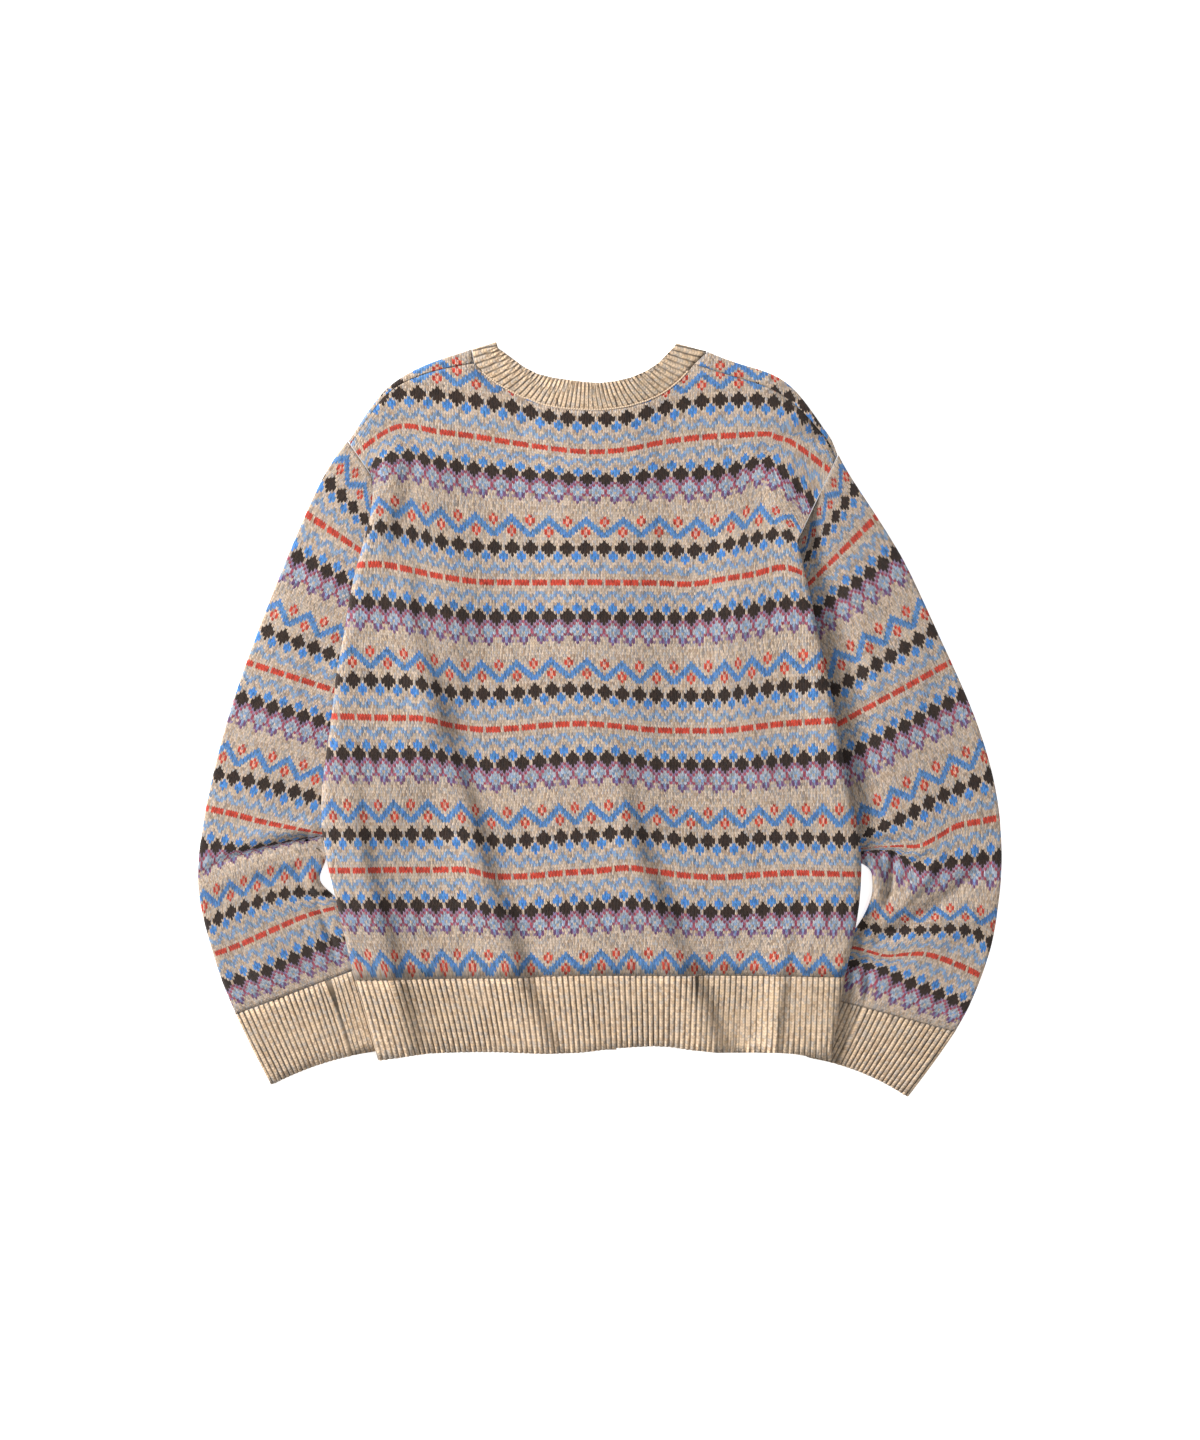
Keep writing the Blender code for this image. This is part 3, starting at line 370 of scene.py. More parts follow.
REPEAT_ROWS, REPEAT_STITCHES = len(CHART_ROWS), 12
CHART_START = 3  # the chart begins this many rows before the middle of a brown diamond
print("chart:", REPEAT_ROWS, "rows,", REPEAT_STITCHES, "stitches")

# %% [markdown]
# ## The knitted cloth's finish
#
# A knitted stitch is a small V. The finish reads each piece's stitch and row numbers, bends the rows into Vs
# and looks the colour up in the chart, one colour ramp for each of its seven columns. The oatmeal yarn is a
# melange, so single stitches lean to blue grey, yellow or brown. The two legs of each V are raised as bumps,
# and painted shade darkens the colour away from their crowns.

# %% Stranded knit
LEG_RISE = 0.55  # how far a stitch's legs rise, in rows
YARN_CLOUDS, FIBRE_CLOUDS = 420.0, 2600.0  # clouds per metre: uneven yarn, and the hairs on it
SHADE_SEED = 5.0
# Painted shade: a stitch's colour is darkest between its legs and rows and lightest on its crown. The part
# added by chance is the yarn's own uneven tone.
KNIT_PAINTED_SHADE_AND_TONE = (0.34, 0.42, 0.30)  # the least, what a stitch's crown adds, and what chance adds
KNIT_DEPTH = 0.0006  # metres
MELANGE = (  # seed, how often, how strong, and what the yarn's colour is multiplied by
    (1.0, 0.26, 0.75, (0.62, 0.76, 1.0, 1.0)),
    (7.0, 0.22, 0.70, (1.0, 0.94, 0.80, 1.0)),
    (3.0, 0.24, 0.70, (0.60, 0.52, 0.46, 1.0)),
)


def woolly(finish):
    """The dull, slightly hairy surface that both knits share."""
    for socket, value in (("Roughness", 0.92), ("Specular IOR Level", 0.2), ("Sheen Weight", 0.12),
                          ("Sheen Roughness", 0.6)):
        finish.shader.inputs[socket].default_value = value


def melange(finish, yarn, strand, line, share=1.0):
    """Single stitches of the yarn lean to grey, yellow or brown."""
    for seed, often, strong, tint in MELANGE:
        chosen = finish.chance(strand, line, seed).above(1.0 - often)
        yarn = finish.mix(chosen * (strong * share), yarn, tint, "MULTIPLY")
    return yarn


def chart_ramp(finish, row_share, column):
    """A colour ramp that holds one column of the chart."""
    letters = [row[column] for row in CHART_ROWS]
    changes = [k for k in range(REPEAT_ROWS) if k == 0 or letters[k] != letters[k - 1]]
    ramp = finish.node("ShaderNodeValToRGB", {}, {"Fac": row_share})
    stops = ramp.color_ramp
    stops.interpolation = "CONSTANT"
    while len(stops.elements) > 1:
        stops.elements.remove(stops.elements[-1])
    stops.elements[0].position, stops.elements[0].color = 0.0, YARN[letters[0]]
    for k in changes[1:]:
        stops.elements.new(k / REPEAT_ROWS).color = YARN[letters[k]]
    return ramp.outputs["Color"]


def stranded_knit():
    finish = Finish("fair_isle_knit")
    stitch, row = finish.place("knit")
    wobble = finish.cloudy(YARN_CLOUDS) - 0.5
    stitch, row = stitch + wobble * 0.5, row + wobble * 0.4
    leg = (stitch.part() * 2.0 - 1.0).size()
    raised = row + (leg - 0.5) * LEG_RISE
    column, line = stitch.floor(), raised.floor()
    in_repeat = (column / REPEAT_STITCHES).part() * REPEAT_STITCHES + 0.5
    from_peak = in_repeat.floor()
    from_peak = from_peak.least(REPEAT_STITCHES - from_peak)
    row_share = ((line + (CHART_START + 0.5)) / REPEAT_ROWS).part()
    dyed = chart_ramp(finish, row_share, 0)
    for k in range(1, len(CHART_ROWS[0])):
        dyed = finish.mix(from_peak.above(k - 0.5), dyed, chart_ramp(finish, row_share, k))
    strand = (stitch * 2.0).floor()
    dyed = melange(finish, dyed, strand, line)
    across = 1.0 - ((leg - 0.5) * 2.0).power(2.0)
    around = raised.part() - 0.5
    height = (across * (1.0 - (around * 2.0).power(4.0) * 0.6)).most(0.0)
    # The yarn's colour is scaled by painted shade, lighter on a stitch's crown, and by the yarn's random
    # tone.
    deepest, on_crown, by_chance = KNIT_PAINTED_SHADE_AND_TONE
    shade = height * on_crown + deepest + finish.chance(strand, line, SHADE_SEED) * by_chance
    finish.feed(finish.shader.inputs["Base Color"], finish.scaled(dyed, shade))
    finish.relief(height + finish.cloudy(FIBRE_CLOUDS, 3.0) * 0.35, KNIT_DEPTH)
    woolly(finish)
    return finish.material


KNIT = stranded_knit()
print("material", KNIT.name, len(KNIT.node_tree.nodes), "nodes")

# %% [markdown]
# ## The ribs' finish
#
# Hem, cuffs, neckband and button bands are one-by-one rib in the plain oatmeal yarn. The ribs themselves are
# real relief on the mesh. The finish adds the stitches along each rib and painted shade deep between them.

# %% Rib knit
RIB_YARN = colour(214, 188, 160)
RIB_PAINTED_SHADE_AND_TONE = (0.60, 0.24, 0.20)  # as the knit's: the least, painted light added on a crown, and random tone
GROOVE_PAINTED_SHADE = 0.74  # the share of the colour that painted shade takes away in the deepest groove
RIB_MELANGE = 0.7  # the ribs' melange, against the knit's
RIB_DEPTH = 0.0007  # metres


def rib_knit():
    finish = Finish("rib_knit")
    rib, row = finish.place("rib")
    wobble = finish.cloudy(YARN_CLOUDS) - 0.5
    rib = rib + wobble * 0.16
    side = (rib.part() * 2.0 - 1.0).size()
    raised = row + wobble * 0.3 + side * 0.5
    line = raised.floor()
    strand = (rib * 2.0).floor()
    yarn = melange(finish, RIB_YARN, strand, line, RIB_MELANGE)
    ridge = 1.0 - side.between(0.45, 1.0)
    # Painted shade deep in the grooves between ribs, deeper in some places than in others.
    uneven = finish.cloudy(26.0, 1.0).between(0.30, 0.66) * 0.65 + 0.45
    depth = side.between(0.58, 0.96) * uneven
    stitch = (1.0 - ((raised.part() - 0.5) * 2.0).power(4.0)) * ridge
    # The colour is scaled by painted light on each stitch's crown, by the yarn's random tone, and by the
    # grooves' painted shade.
    deepest, on_crown, by_chance = RIB_PAINTED_SHADE_AND_TONE
    shade = stitch * on_crown + deepest + finish.chance(strand, line, SHADE_SEED) * by_chance
    shade = shade * (1.0 - depth * GROOVE_PAINTED_SHADE)
    finish.feed(finish.shader.inputs["Base Color"], finish.scaled(yarn, shade))
    finish.relief(ridge * 0.6 + stitch * 0.5 + finish.cloudy(FIBRE_CLOUDS, 3.0) * 0.3, RIB_DEPTH)
    woolly(finish)
    return finish.material


RIB = rib_knit()
print("material", RIB.name, len(RIB.node_tree.nodes), "nodes")

# %% [markdown]
# ## Where each stitch lies on the body
#
# The cloth was knitted straight, but it lies bent: the rows dip at the middle and run down over the folds
# near the armholes. A net of measured points says where the diamonds of each band lie, in the picture's
# steps of 0.9 mm. The stitch and row numbers at any other point are read back from a dense version of it.

# %% The body's net of stitches
PHOTO_MIDDLE, PHOTO_SCALE = np.array([600.0, 720.0]), 0.9  # the drawing's origin, and mm for each step


def drawn(points):
    """Points given in the picture's steps, as millimetres in the drawing."""
    points = np.asarray(points, float)
    return (points - PHOTO_MIDDLE) * (PHOTO_SCALE, -PHOTO_SCALE)


DIAMOND = 6  # stitches from one brown diamond to the next
NET_COLUMNS = np.arange(-14.0, 15.0, 2.0)  # counted in diamonds from the back's middle
NET = {  # chart row: where the diamonds of these columns lie
    -16.7: ((332, 384), (366, 361), (398, 352), (436, 352), (475, 358), (511, 365), (548, 375), (585, 378),
            (625, 377), (664, 367), (700, 360), (737, 358), (774, 360), (806, 374), (836, 402)),
    -0.7: ((332, 422), (364, 402), (398, 393), (436, 393), (475, 399), (511, 405), (548, 415), (585, 418),
           (625, 417), (664, 407), (700, 400), (737, 398), (773, 400), (801, 412), (830, 440)),
    11.3: ((347, 462), (375, 438), (402, 425), (437, 430), (474, 435), (510, 441), (548, 447), (586, 451),
           (624, 449), (663, 441), (699, 436), (736, 434), (772, 433), (795, 443), (822, 463)),
    23.6: ((360, 490), (376, 464), (408, 456), (439, 463), (473, 468), (509, 472), (548, 476), (586, 479),
           (623, 479), (660, 474), (698, 473), (734, 469), (767, 461), (796, 484), (822, 512)),
    51: ((350, 534), (381, 528), (412, 534), (441, 542), (476, 547), (511, 548), (547.5, 549), (584, 549),
         (621, 549), (657, 549), (693, 551), (728, 545), (755, 539), (786, 536), (818, 560)),
    75: ((351, 602), (385, 604), (415, 608), (446, 613), (478, 617), (513, 617.5), (548, 617), (585, 617),
         (620, 618), (656, 618), (690, 618), (723, 614), (752, 611), (784, 604), (818, 608)),
    102: ((353, 680), (388, 681), (422, 684), (450, 692), (482, 694), (517, 693), (551, 690), (586, 690),
          (621, 694), (655, 695.5), (689.5, 696), (723, 695.5), (750, 691), (782, 687), (820, 685)),
    126: ((359, 754), (391, 755), (426, 754), (456, 759), (485, 765), (521, 763), (555, 760), (588, 758),
          (623, 759), (655, 764), (689.5, 765), (723.5, 765), (756, 763), (784, 760), (820, 758)),
    153: ((365, 834), (395, 834), (428, 834), (463, 834), (492, 840), (525, 840), (560, 837), (591, 835),
          (626, 832), (656, 836), (689.5, 840), (723.5, 840.6), (757.5, 838), (790, 837), (821, 838)),
    177: ((370, 905), (400, 905), (434, 905), (470, 905), (499, 911), (530, 911), (565, 908), (597, 906),
          (631, 903), (660, 907), (692, 911), (726, 912), (761, 910), (795, 908), (825, 908)),
    196: ((383, 959.5), (409.5, 961), (442, 959.5), (471.5, 959.5), (504, 959.5), (530, 962.5), (564.5, 962),
          (600, 959), (630, 958), (664, 958), (693, 961.5), (723, 961), (753.5, 960), (789, 962.5),
          (820.5, 964)),
}
FINE_COLUMNS = np.arange(-18, 18.01, 0.5)  # the dense net's columns, in diamonds
FINE_ROWS = np.arange(-40.0, 215.0, 2.0)
MAX_STEP = 3.0  # farthest that a number may lie from the nearest point of the net


class StitchNet:
    """Reads stitch and row numbers off a dense grid of points."""

    def __init__(self, stitches, rows, grid):
        self.stitches, self.rows, self.grid = stitches, rows, grid
        self.across = np.gradient(grid, stitches, axis=1)
        self.down = np.gradient(grid, rows, axis=0)
        flat = grid.reshape(-1, 2)
        self.tree = KDTree(len(flat))
        for k, (x, y) in enumerate(flat):
            self.tree.insert((x, y, 0.0), k)
        self.tree.balance()

    def read(self, points):
        """Stitch and row numbers at plan points."""
        nearest = np.array([self.tree.find((x, y, 0.0))[1] for x, y in points])
        r, c = np.divmod(nearest, len(self.stitches))
        off = points - self.grid[r, c]
        a, d = self.across[r, c], self.down[r, c]
        area = a[:, 0] * d[:, 1] - a[:, 1] * d[:, 0]
        on = (off[:, 0] * d[:, 1] - off[:, 1] * d[:, 0]) / area
        up = (a[:, 0] * off[:, 1] - a[:, 1] * off[:, 0]) / area
        on, up = np.clip(on, -MAX_STEP, MAX_STEP), np.clip(up, -MAX_STEP, MAX_STEP)
        return self.stitches[c] + on, self.rows[r] + up


def body_net():
    rows = np.array(sorted(NET))
    table = np.array([drawn(NET[row]) for row in rows])
    wide = np.array([[curve_through(FINE_COLUMNS, NET_COLUMNS, line[:, k]) for k in range(2)]
                     for line in table]).transpose(0, 2, 1)
    dense = np.array([[curve_through(FINE_ROWS, rows, wide[:, c, k]) for k in range(2)]
                      for c in range(len(FINE_COLUMNS))]).transpose(2, 0, 1)
    return StitchNet(FINE_COLUMNS * DIAMOND, FINE_ROWS, dense)


BODY_NET = body_net()
print("body net:", BODY_NET.grid.shape[:2])

# %% [markdown]
# ## Where each stitch lies on the sleeves
#
# A sleeve is a tube, knitted from the shoulder to the cuff. Each line of the table gives a row's number and
# points along it from the outer to the inner edge. At the elbows the rows run together, because the crease
# swallows the cloth between them. Stitches are counted from the outer edge, over the top as well as round
# the underside, so that the motifs run on round the fold.

# %% The sleeves' nets of stitches
SLEEVE_ROWS = {  # row: points from the outer to the inner edge
    "left": {
        -14: ((348, 441), (409, 548)),
        6: ((314, 494), (421, 582)),
        24: ((289, 553), (424, 618)),
        51: ((259, 628), (409, 682)),
        75: ((234, 696), (393, 742)),
        102: ((212, 773), (248, 780), (278, 787), (309, 795), (358, 807)),
        114: ((205, 807.5), (233, 813.5), (261, 821), (292, 827.5), (318, 832.5), (345, 838)),
        126: ((198, 846), (216, 846.5), (243, 848.5), (268, 845), (295, 840.2), (322, 835.5), (345, 832)),
        134: ((198, 876), (210, 870), (224, 862.5), (243, 856), (268, 848.5), (295, 842.8), (322, 837.5),
              (345, 834)),
        141: ((200, 890), (220, 882), (242, 876), (268.5, 866), (295, 858.5), (318, 855), (345, 851)),
        153: ((203, 927), (231, 912), (258, 901.5), (284, 893.5), (309, 892.5), (331, 894), (350, 890)),
        165: ((211, 955), (234, 947), (255, 938), (279, 927), (309, 914.5), (335, 907.5), (352, 903)),
        177: ((222, 985), (264, 972), (312, 950), (358, 934)),
        190: ((236, 1014), (364, 966)),
    },
    "right": {
        -14: ((838, 455), (776, 592)),
        6: ((866, 500), (767, 618)),
        24: ((900, 552), (761, 650)),
        51: ((936, 629), (772, 726)),
        75: ((966, 694), (792, 784)),
        102: ((993, 774), (933, 800), (903, 817), (874, 830), (838, 848)),
        114: ((1001, 817), (980, 821), (954, 826.7), (937, 836.5), (917, 846), (900, 846), (868, 848),
              (850, 850)),
        126: ((1002, 857), (986.5, 858), (956.5, 861.7), (924, 867.5),
              (908, 862), (893, 852), (868, 850.5), (850, 853)),
        134: ((1001, 884), (985, 883), (958, 881), (935, 889), (915, 888), (895, 878), (874, 872),
              (850, 872)),
        141: ((999, 908), (964, 903), (938, 904), (915, 908), (892, 903), (874, 899), (855, 897)),
        153: ((993, 945), (977, 933.5), (962, 929), (930, 929), (900, 930), (886, 931), (872, 927),
              (850, 922)),
        165: ((983, 977), (970.5, 970.5), (946.5, 960), (924, 953.5),
              (902, 954), (889, 955.5), (862.5, 949.5), (840, 944)),
        177: ((969, 1008), (951, 999), (923.5, 988.5), (897.5, 977.5), (883.5, 970), (860, 964), (831, 958)),
        190: ((955, 1031), (828, 997)),
    },
}
# At these rows: a stitch's width, and the way from a sleeve's outer edge to its first peak column, mm.
MEASURED_AT = (-14, 60, 102, 126, 153, 190)
SLEEVE_STITCHES = {
    "left": (MEASURED_AT, (2.43, 2.43, 2.34, 2.12, 2.14, 2.25), (8.5, 8.0, 5.4, 3.6, 2.6, 2.6)),
    "right": (MEASURED_AT, (2.43, 2.43, 2.50, 2.40, 2.22, 2.30), (4.0, 3.0, 2.6, 2.4, 2.3, 2.2)),
}
SLEEVE_FINE_STITCHES = np.arange(-12.0, 96.0, 1.5)
SLEEVE_FINE_ROWS = np.arange(-24.0, 200.0, 1.0)


def sleeve_net(side):
    rows, widths, first = SLEEVE_STITCHES[side]
    lines = []
    for row, points in SLEEVE_ROWS[side].items():
        line = drawn(points)
        place = np.concatenate(([0.0], np.cumsum(np.hypot(*np.diff(line, axis=0).T))))
        reach = SLEEVE_FINE_STITCHES * np.interp(row, rows, widths) + np.interp(row, rows, first)
        lines.append([curve_through(reach, place, line[:, k]) for k in range(2)])
    measured, lines = np.array(list(SLEEVE_ROWS[side]), float), np.array(lines)
    grid = np.array([[smooth_or_straight(SLEEVE_FINE_ROWS, measured, lines[:, k, c]) for k in range(2)]
                     for c in range(len(SLEEVE_FINE_STITCHES))]).transpose(2, 0, 1)
    return StitchNet(SLEEVE_FINE_STITCHES, SLEEVE_FINE_ROWS, grid)


SLEEVE_NETS = {side: sleeve_net(side) for side in SLEEVE_ROWS}
print("sleeve nets:", {side: net.grid.shape[:2] for side, net in SLEEVE_NETS.items()})

# %% [markdown]
# ## Creases and soft folds
#
# A laid garment is never even. Each crease is a short line with a width and a height: a ridge where the
# height is positive, a trough where it is negative. One side of it may be steeper than the other, as where
# cloth rolls over itself.


# %% Creases
PATH_SAMPLES = 60  # points looked at along a crease
FARTHEST = 60.0  # mm: no crease reaches farther than this


def crease_height(x, y, line, width, height, lean=1.0):
    """Height added by one crease, whose width and height are given once or at its start, middle and end.

    lean below 1 narrows the side towards +X.
    """
    line = np.asarray(line, float)
    steps = np.linalg.norm(np.diff(line, axis=0), axis=1)
    place = np.concatenate(([0.0], np.cumsum(steps))) / steps.sum()
    samples = np.linspace(0, 1, PATH_SAMPLES)
    path = np.column_stack([smooth(samples, place, line[:, k]) for k in range(2)])
    gap = np.hypot(x[:, None] - path[None, :, 0], y[:, None] - path[None, :, 1])
    nearest = gap.argmin(axis=1)
    along = samples[nearest]
    wide, tall = (np.interp(along, (0, 0.5, 1), np.broadcast_to(value, 3)) for value in (width, height))
    wide = wide * np.where(x > path[nearest, 0], lean, 1.0)
    return tall * (1 - smoothstep(gap.min(axis=1) / wide))


def relief_of(x, y, creases):
    total = np.zeros(len(x))
    for crease in creases:
        low, high = np.min(crease[0], axis=0) - FARTHEST, np.max(crease[0], axis=0) + FARTHEST
        near = (x > low[0]) & (x < high[0]) & (y > low[1]) & (y < high[1])
        total[near] += crease_height(x[near], y[near], *crease)
    return total


# %% [markdown]
# ## The body: back and fronts
#
# The back lies on top, the two fronts under it. Each is one wall of knitted cloth, 2.4 mm thick. The fronts
# come over the shoulders to a seam on the back, so their rows start a little further up there.

# %% Back and fronts
# Each long fold: the line of its dark foot, widths and heights at its start, middle and end, and its lean.
FOLD_LINES = (
    (drawn(((402, 470), (409, 560), (418, 620), (434, 680), (447, 725))), (26, 26, 26), (0.6, 3.0, 2.0), 0.6),
    (drawn(((428, 650), (446, 717), (460, 759), (478, 816), (492, 872), (513, 928), (527, 977))),
     (26, 28, 30), (0.6, 4.4, 4.4), 0.42),
    (drawn(((362, 742), (360, 800), (369, 858), (383, 907), (397, 956), (403, 977))),
     (20, 22, 22), (0.4, 3.4, 2.6), 0.5),
    (drawn(((613, 712), (622, 745), (629, 788), (643, 844), (661, 893), (678, 935), (699, 978))),
     (26, 28, 30), (0.4, 3.8, 4.2), 0.42),
    (drawn(((802, 890), (794, 920), (789, 945), (787, 977))), (20, 20, 20), (0.4, 1.8, 3.0), 0.5),
)
HEM_FOLD_LINES = (
    (drawn(((527, 977), (541, 1012), (559, 1050))), (30, 30, 30), (4.4, 4.0, 3.4), 0.42),
    (drawn(((403, 977), (412, 1010), (420, 1050))), (22, 20, 20), (2.6, 1.8, 1.2), 0.5),
    (drawn(((699, 978), (713, 1012), (724, 1048))), (30, 30, 28), (4.2, 3.8, 3.2), 0.42),
    (drawn(((787, 977), (782, 1010), (776, 1048))), (20, 20, 20), (3.0, 2.8, 2.0), 0.5),
)


BODY_FOOT, HEM_FOOT = 0.6, 0.35  # how deep the trough at a fold's foot is, against the fold's height
TO_STEEP_MIDDLE = 0.62  # the steep side's middle, as a share of its width
FOOT_WIDTH, FOOT_LEAN = 0.5, 1.4  # the trough's width, against the fold's, and its own lean


def fold(line, width, height, lean, foot_share):
    """A ridge whose steep side ends on the line, and a shallower trough at its foot."""
    aside = np.array((np.array(width).mean() * lean * TO_STEEP_MIDDLE, 0.0))
    ridge = (line - aside, width, height, lean)
    return ridge, (line + aside, np.array(width) * FOOT_WIDTH, np.array(height) * -foot_share, FOOT_LEAN)


BODY_CREASES = (  # line, width and height, all in mm, and the lean where one side is steeper
    *(crease for line in FOLD_LINES for crease in fold(*line, BODY_FOOT)),
    # the thick roll along the right edge, and a thin one along the left edge
    (drawn(((776, 480), (796, 547), (812, 613), (826, 693), (834, 760), (838, 840), (830, 900))),
     30, (1.6, 3.0, 1.2), 0.8),
    (drawn(((352, 520), (343, 600), (336, 700), (334, 800), (340, 880))), 16, (0.4, 1.2, 0.8), 1.6),
    # short creases at the armholes, and long shallow ones below them
    (((-199, 250), (-188, 224), (-170, 196), (-150, 176)), (10, 26, 20), (0.0, 2.6, 0.0)),
    (drawn(((416, 430), (406, 500), (398, 560), (394, 620))), 15, (-0.4, -2.2, -0.8)),
    (drawn(((394, 440), (384, 510), (376, 570))), 20, (0.2, 1.6, 0.4)),
    (drawn(((408, 730), (412, 800), (420, 860))), 28, (0.4, 2.0, 0.4)),
    (((-178, 232), (-160, 214), (-138, 200)), (8, 20, 16), (0.0, -1.6, 0.0)),
    (((176, 250), (168, 222), (160, 196), (166, 166)), (12, 26, 14), (0.0, 2.4, 0.6)),
    (((150, 232), (142, 206), (146, 180)), (8, 18, 14), (0.0, -1.4, 0.0)),
    (((120, 110), (112, 60), (116, 0)), 30, (0.0, 1.2, 0.0)),
    (((-30, 150), (-10, 110), (6, 60)), 44, (0.0, 1.0, 0.0)),
    (((130, -70), (120, -120), (108, -170)), 26, (0.0, 1.0, 0.0)),
    (((-40, -60), (-34, -110), (-24, -170)), 24, (0.0, -1.0, 0.0)),
)
BODY_LEVELS = 2  # how often the solid's faces are divided
FRONT_ROW_START = 3.5  # the fronts' rows, against the back's at the same place
LAST_ROW = 200.5  # the hem begins here, so no later row of the chart is shown
# The fronts lie on the floor, so their creases only lift them from it.
FRONT_CREASES = (
    (((-150, 150), (-136, 60), (-130, -30)), 26, (0.0, 0.9, 0.3)),
    (((-70, 40), (-60, -50), (-64, -150)), 22, (0.0, 0.8, 0.2)),
    (((120, 170), (128, 90), (118, 10)), 24, (0.2, 0.9, 0.0)),
    (((70, -20), (84, -100), (80, -180)), 28, (0.0, 0.7, 0.3)),
    (((160, -40), (170, -110), (162, -190)), 20, (0.0, 0.9, 0.0)),
)


def knitted(node, creases, first_row):
    """A body piece's cloth with its creases and its stitch numbers."""
    piece = smoothed(merged_copy(node), f"knit_{node}", BODY_LEVELS)
    points = points_of(piece)
    points[:, 2] += relief_of(points[:, 0], points[:, 1], creases)
    points[:, 2] = np.maximum(points[:, 2], 0.0)
    move_points(piece, points)
    stitch, row = BODY_NET.read(points[:, :2])
    row = np.minimum(row, LAST_ROW)
    corners, _ = corner_points(piece)
    write_uv(piece, "knit", np.column_stack([stitch, row + first_row])[corners])
    return dressed(piece, KNIT)


BACK = knitted("back_panel", BODY_CREASES, 0.0)
FRONTS = [knitted(f"front_{side}", FRONT_CREASES, FRONT_ROW_START) for side in ("left", "right")]

# %% [markdown]
# ## The sleeves
#
# Each sleeve is a flattened tube. The elbow's crease swallows a few rows on the inner side, and the cloth is
# pinched into a small roll beside the gap between sleeve and body. Only the upper wall is raised or lowered,
# so that the lower one keeps lying on the floor.

# %% Sleeves
BETWEEN_WALLS = 3.4  # mm: the height between a tube's lower and upper wall
WALL_BLEND = 1.6  # mm: the height in which the creases fade in from the lower wall to the upper
LOWEST_UPPER = 2.7  # mm: no crease pushes the upper wall's cloth below this
SLEEVE_LEVELS = 3
SLEEVE_CREASES = {
    "left": (
        (drawn(((204, 873), (224, 861), (243, 855), (275, 846), (306, 838))), (6, 7, 9), (-1.4, -2.2, -2.6)),
        (drawn(((206, 890), (232, 876), (262, 866), (296, 858))), (14, 16, 13), (1.2, 3.0, 2.6)),
        (drawn(((226, 846), (258, 836), (292, 829), (312, 828))), (12, 14, 10), (0.6, 2.4, 3.0)),
        (drawn(((308, 842), (316, 848), (320, 862))), (9, 10, 8), (-3.0, -4.6, -3.0)),
        (drawn(((300, 862), (310, 876), (322, 893))), (9, 11, 8), (2.0, 4.2, 2.0), 0.7),
        (drawn(((296, 862), (302, 878), (311, 894))), (4, 5, 4), (-1.4, -3.0, -1.4)),
        (drawn(((300, 893), (316, 896), (334, 893))), (6, 7, 5), (-1.4, -2.6, -2.0)),
        (drawn(((318, 902), (328, 930), (340, 965))), (5, 5, 5), (-1.4, -2.2, -1.2)),
        (drawn(((300, 898), (316, 930), (326, 966))), (11, 13, 10), (0.6, 1.8, 0.8)),
        (drawn(((300, 560), (282, 620), (262, 690))), 24, (0.0, 1.8, 0.0)),
        (drawn(((330, 600), (318, 660), (300, 720))), 16, (0.0, -1.4, 0.0)),
        (drawn(((225, 760), (228, 800), (222, 840))), 18, (0.0, 1.4, 0.4)),
        (drawn(((250, 940), (262, 970), (280, 1000))), 16, (0.0, 1.6, 0.6)),
        (drawn(((222, 930), (236, 965), (252, 1000))), 12, (0.0, -1.2, -0.4)),
    ),
    "right": (
        (drawn(((790, 480), (815, 547), (835, 613), (855, 693), (862, 760), (868, 815))),
         17, (-2.2, -3.6, -3.6), 1.3),
        (drawn(((984, 862), (958, 889), (930, 910), (902, 928), (878, 942))),
         (10, 13, 10), (-1.6, -4.0, -2.4)),
        (drawn(((1004, 880), (982, 908), (956, 930), (932, 950))), (13, 15, 11), (0.6, 1.8, 0.4)),
        (drawn(((944, 846), (926, 876), (902, 904), (886, 918))), (12, 15, 10), (0.8, 3.4, 1.4), 0.6),
        (drawn(((866, 854), (872, 862), (878, 884), (874, 904))), (9, 11, 8), (2.8, 4.6, 1.8)),
        (drawn(((893, 852), (891, 876), (885, 908))), (4, 5, 4), (-2.0, -3.2, -1.4)),
        (drawn(((872, 842), (896, 842), (918, 850))), (7, 8, 6), (-2.4, -2.8, -1.0)),
        (drawn(((934, 842), (922, 850), (908, 856))), (7, 8, 6), (0.4, 2.2, 1.0)),
        (drawn(((856, 926), (880, 931), (905, 928))), (5, 6, 5), (-2.0, -2.0, -0.6)),
        (drawn(((850, 966), (868, 961), (890, 962))), (5, 6, 5), (-2.0, -1.6, -0.4)),
        (drawn(((853, 966), (857, 980), (861, 996))), (7, 8, 6), (1.8, 3.0, 1.2)),
        (drawn(((866, 958), (868, 980), (864, 1000))), (5, 5, 4), (-0.8, -1.8, -1.0)),
        (drawn(((900, 600), (912, 660), (926, 730))), 24, (0.0, 1.8, 0.0)),
        (drawn(((876, 620), (884, 680), (890, 740))), 14, (0.0, -1.4, 0.0)),
        (drawn(((960, 760), (972, 800), (980, 840))), 16, (0.0, 1.4, 0.0)),
        (drawn(((938, 1000), (918, 972), (905, 952))), 14, (0.2, 1.8, 0.4)),
        (drawn(((960, 985), (938, 962), (922, 948))), 10, (0.0, -1.2, -0.4)),
    ),
}
# Where the pinched roll fills the gap beside the body: middle, sideways shift and reach, mm.
ROLL_PUSH = {"left": (drawn((316, 862)), (5.0, 3.0), 17.0), "right": (drawn((872, 880)), (-1.0, 0.0), 14.0)}


def upper_share(points):
    """0 on a tube's lower wall, 1 on its upper one."""
    return smoothstep((points[:, 2] - BETWEEN_WALLS) / WALL_BLEND + 0.5)


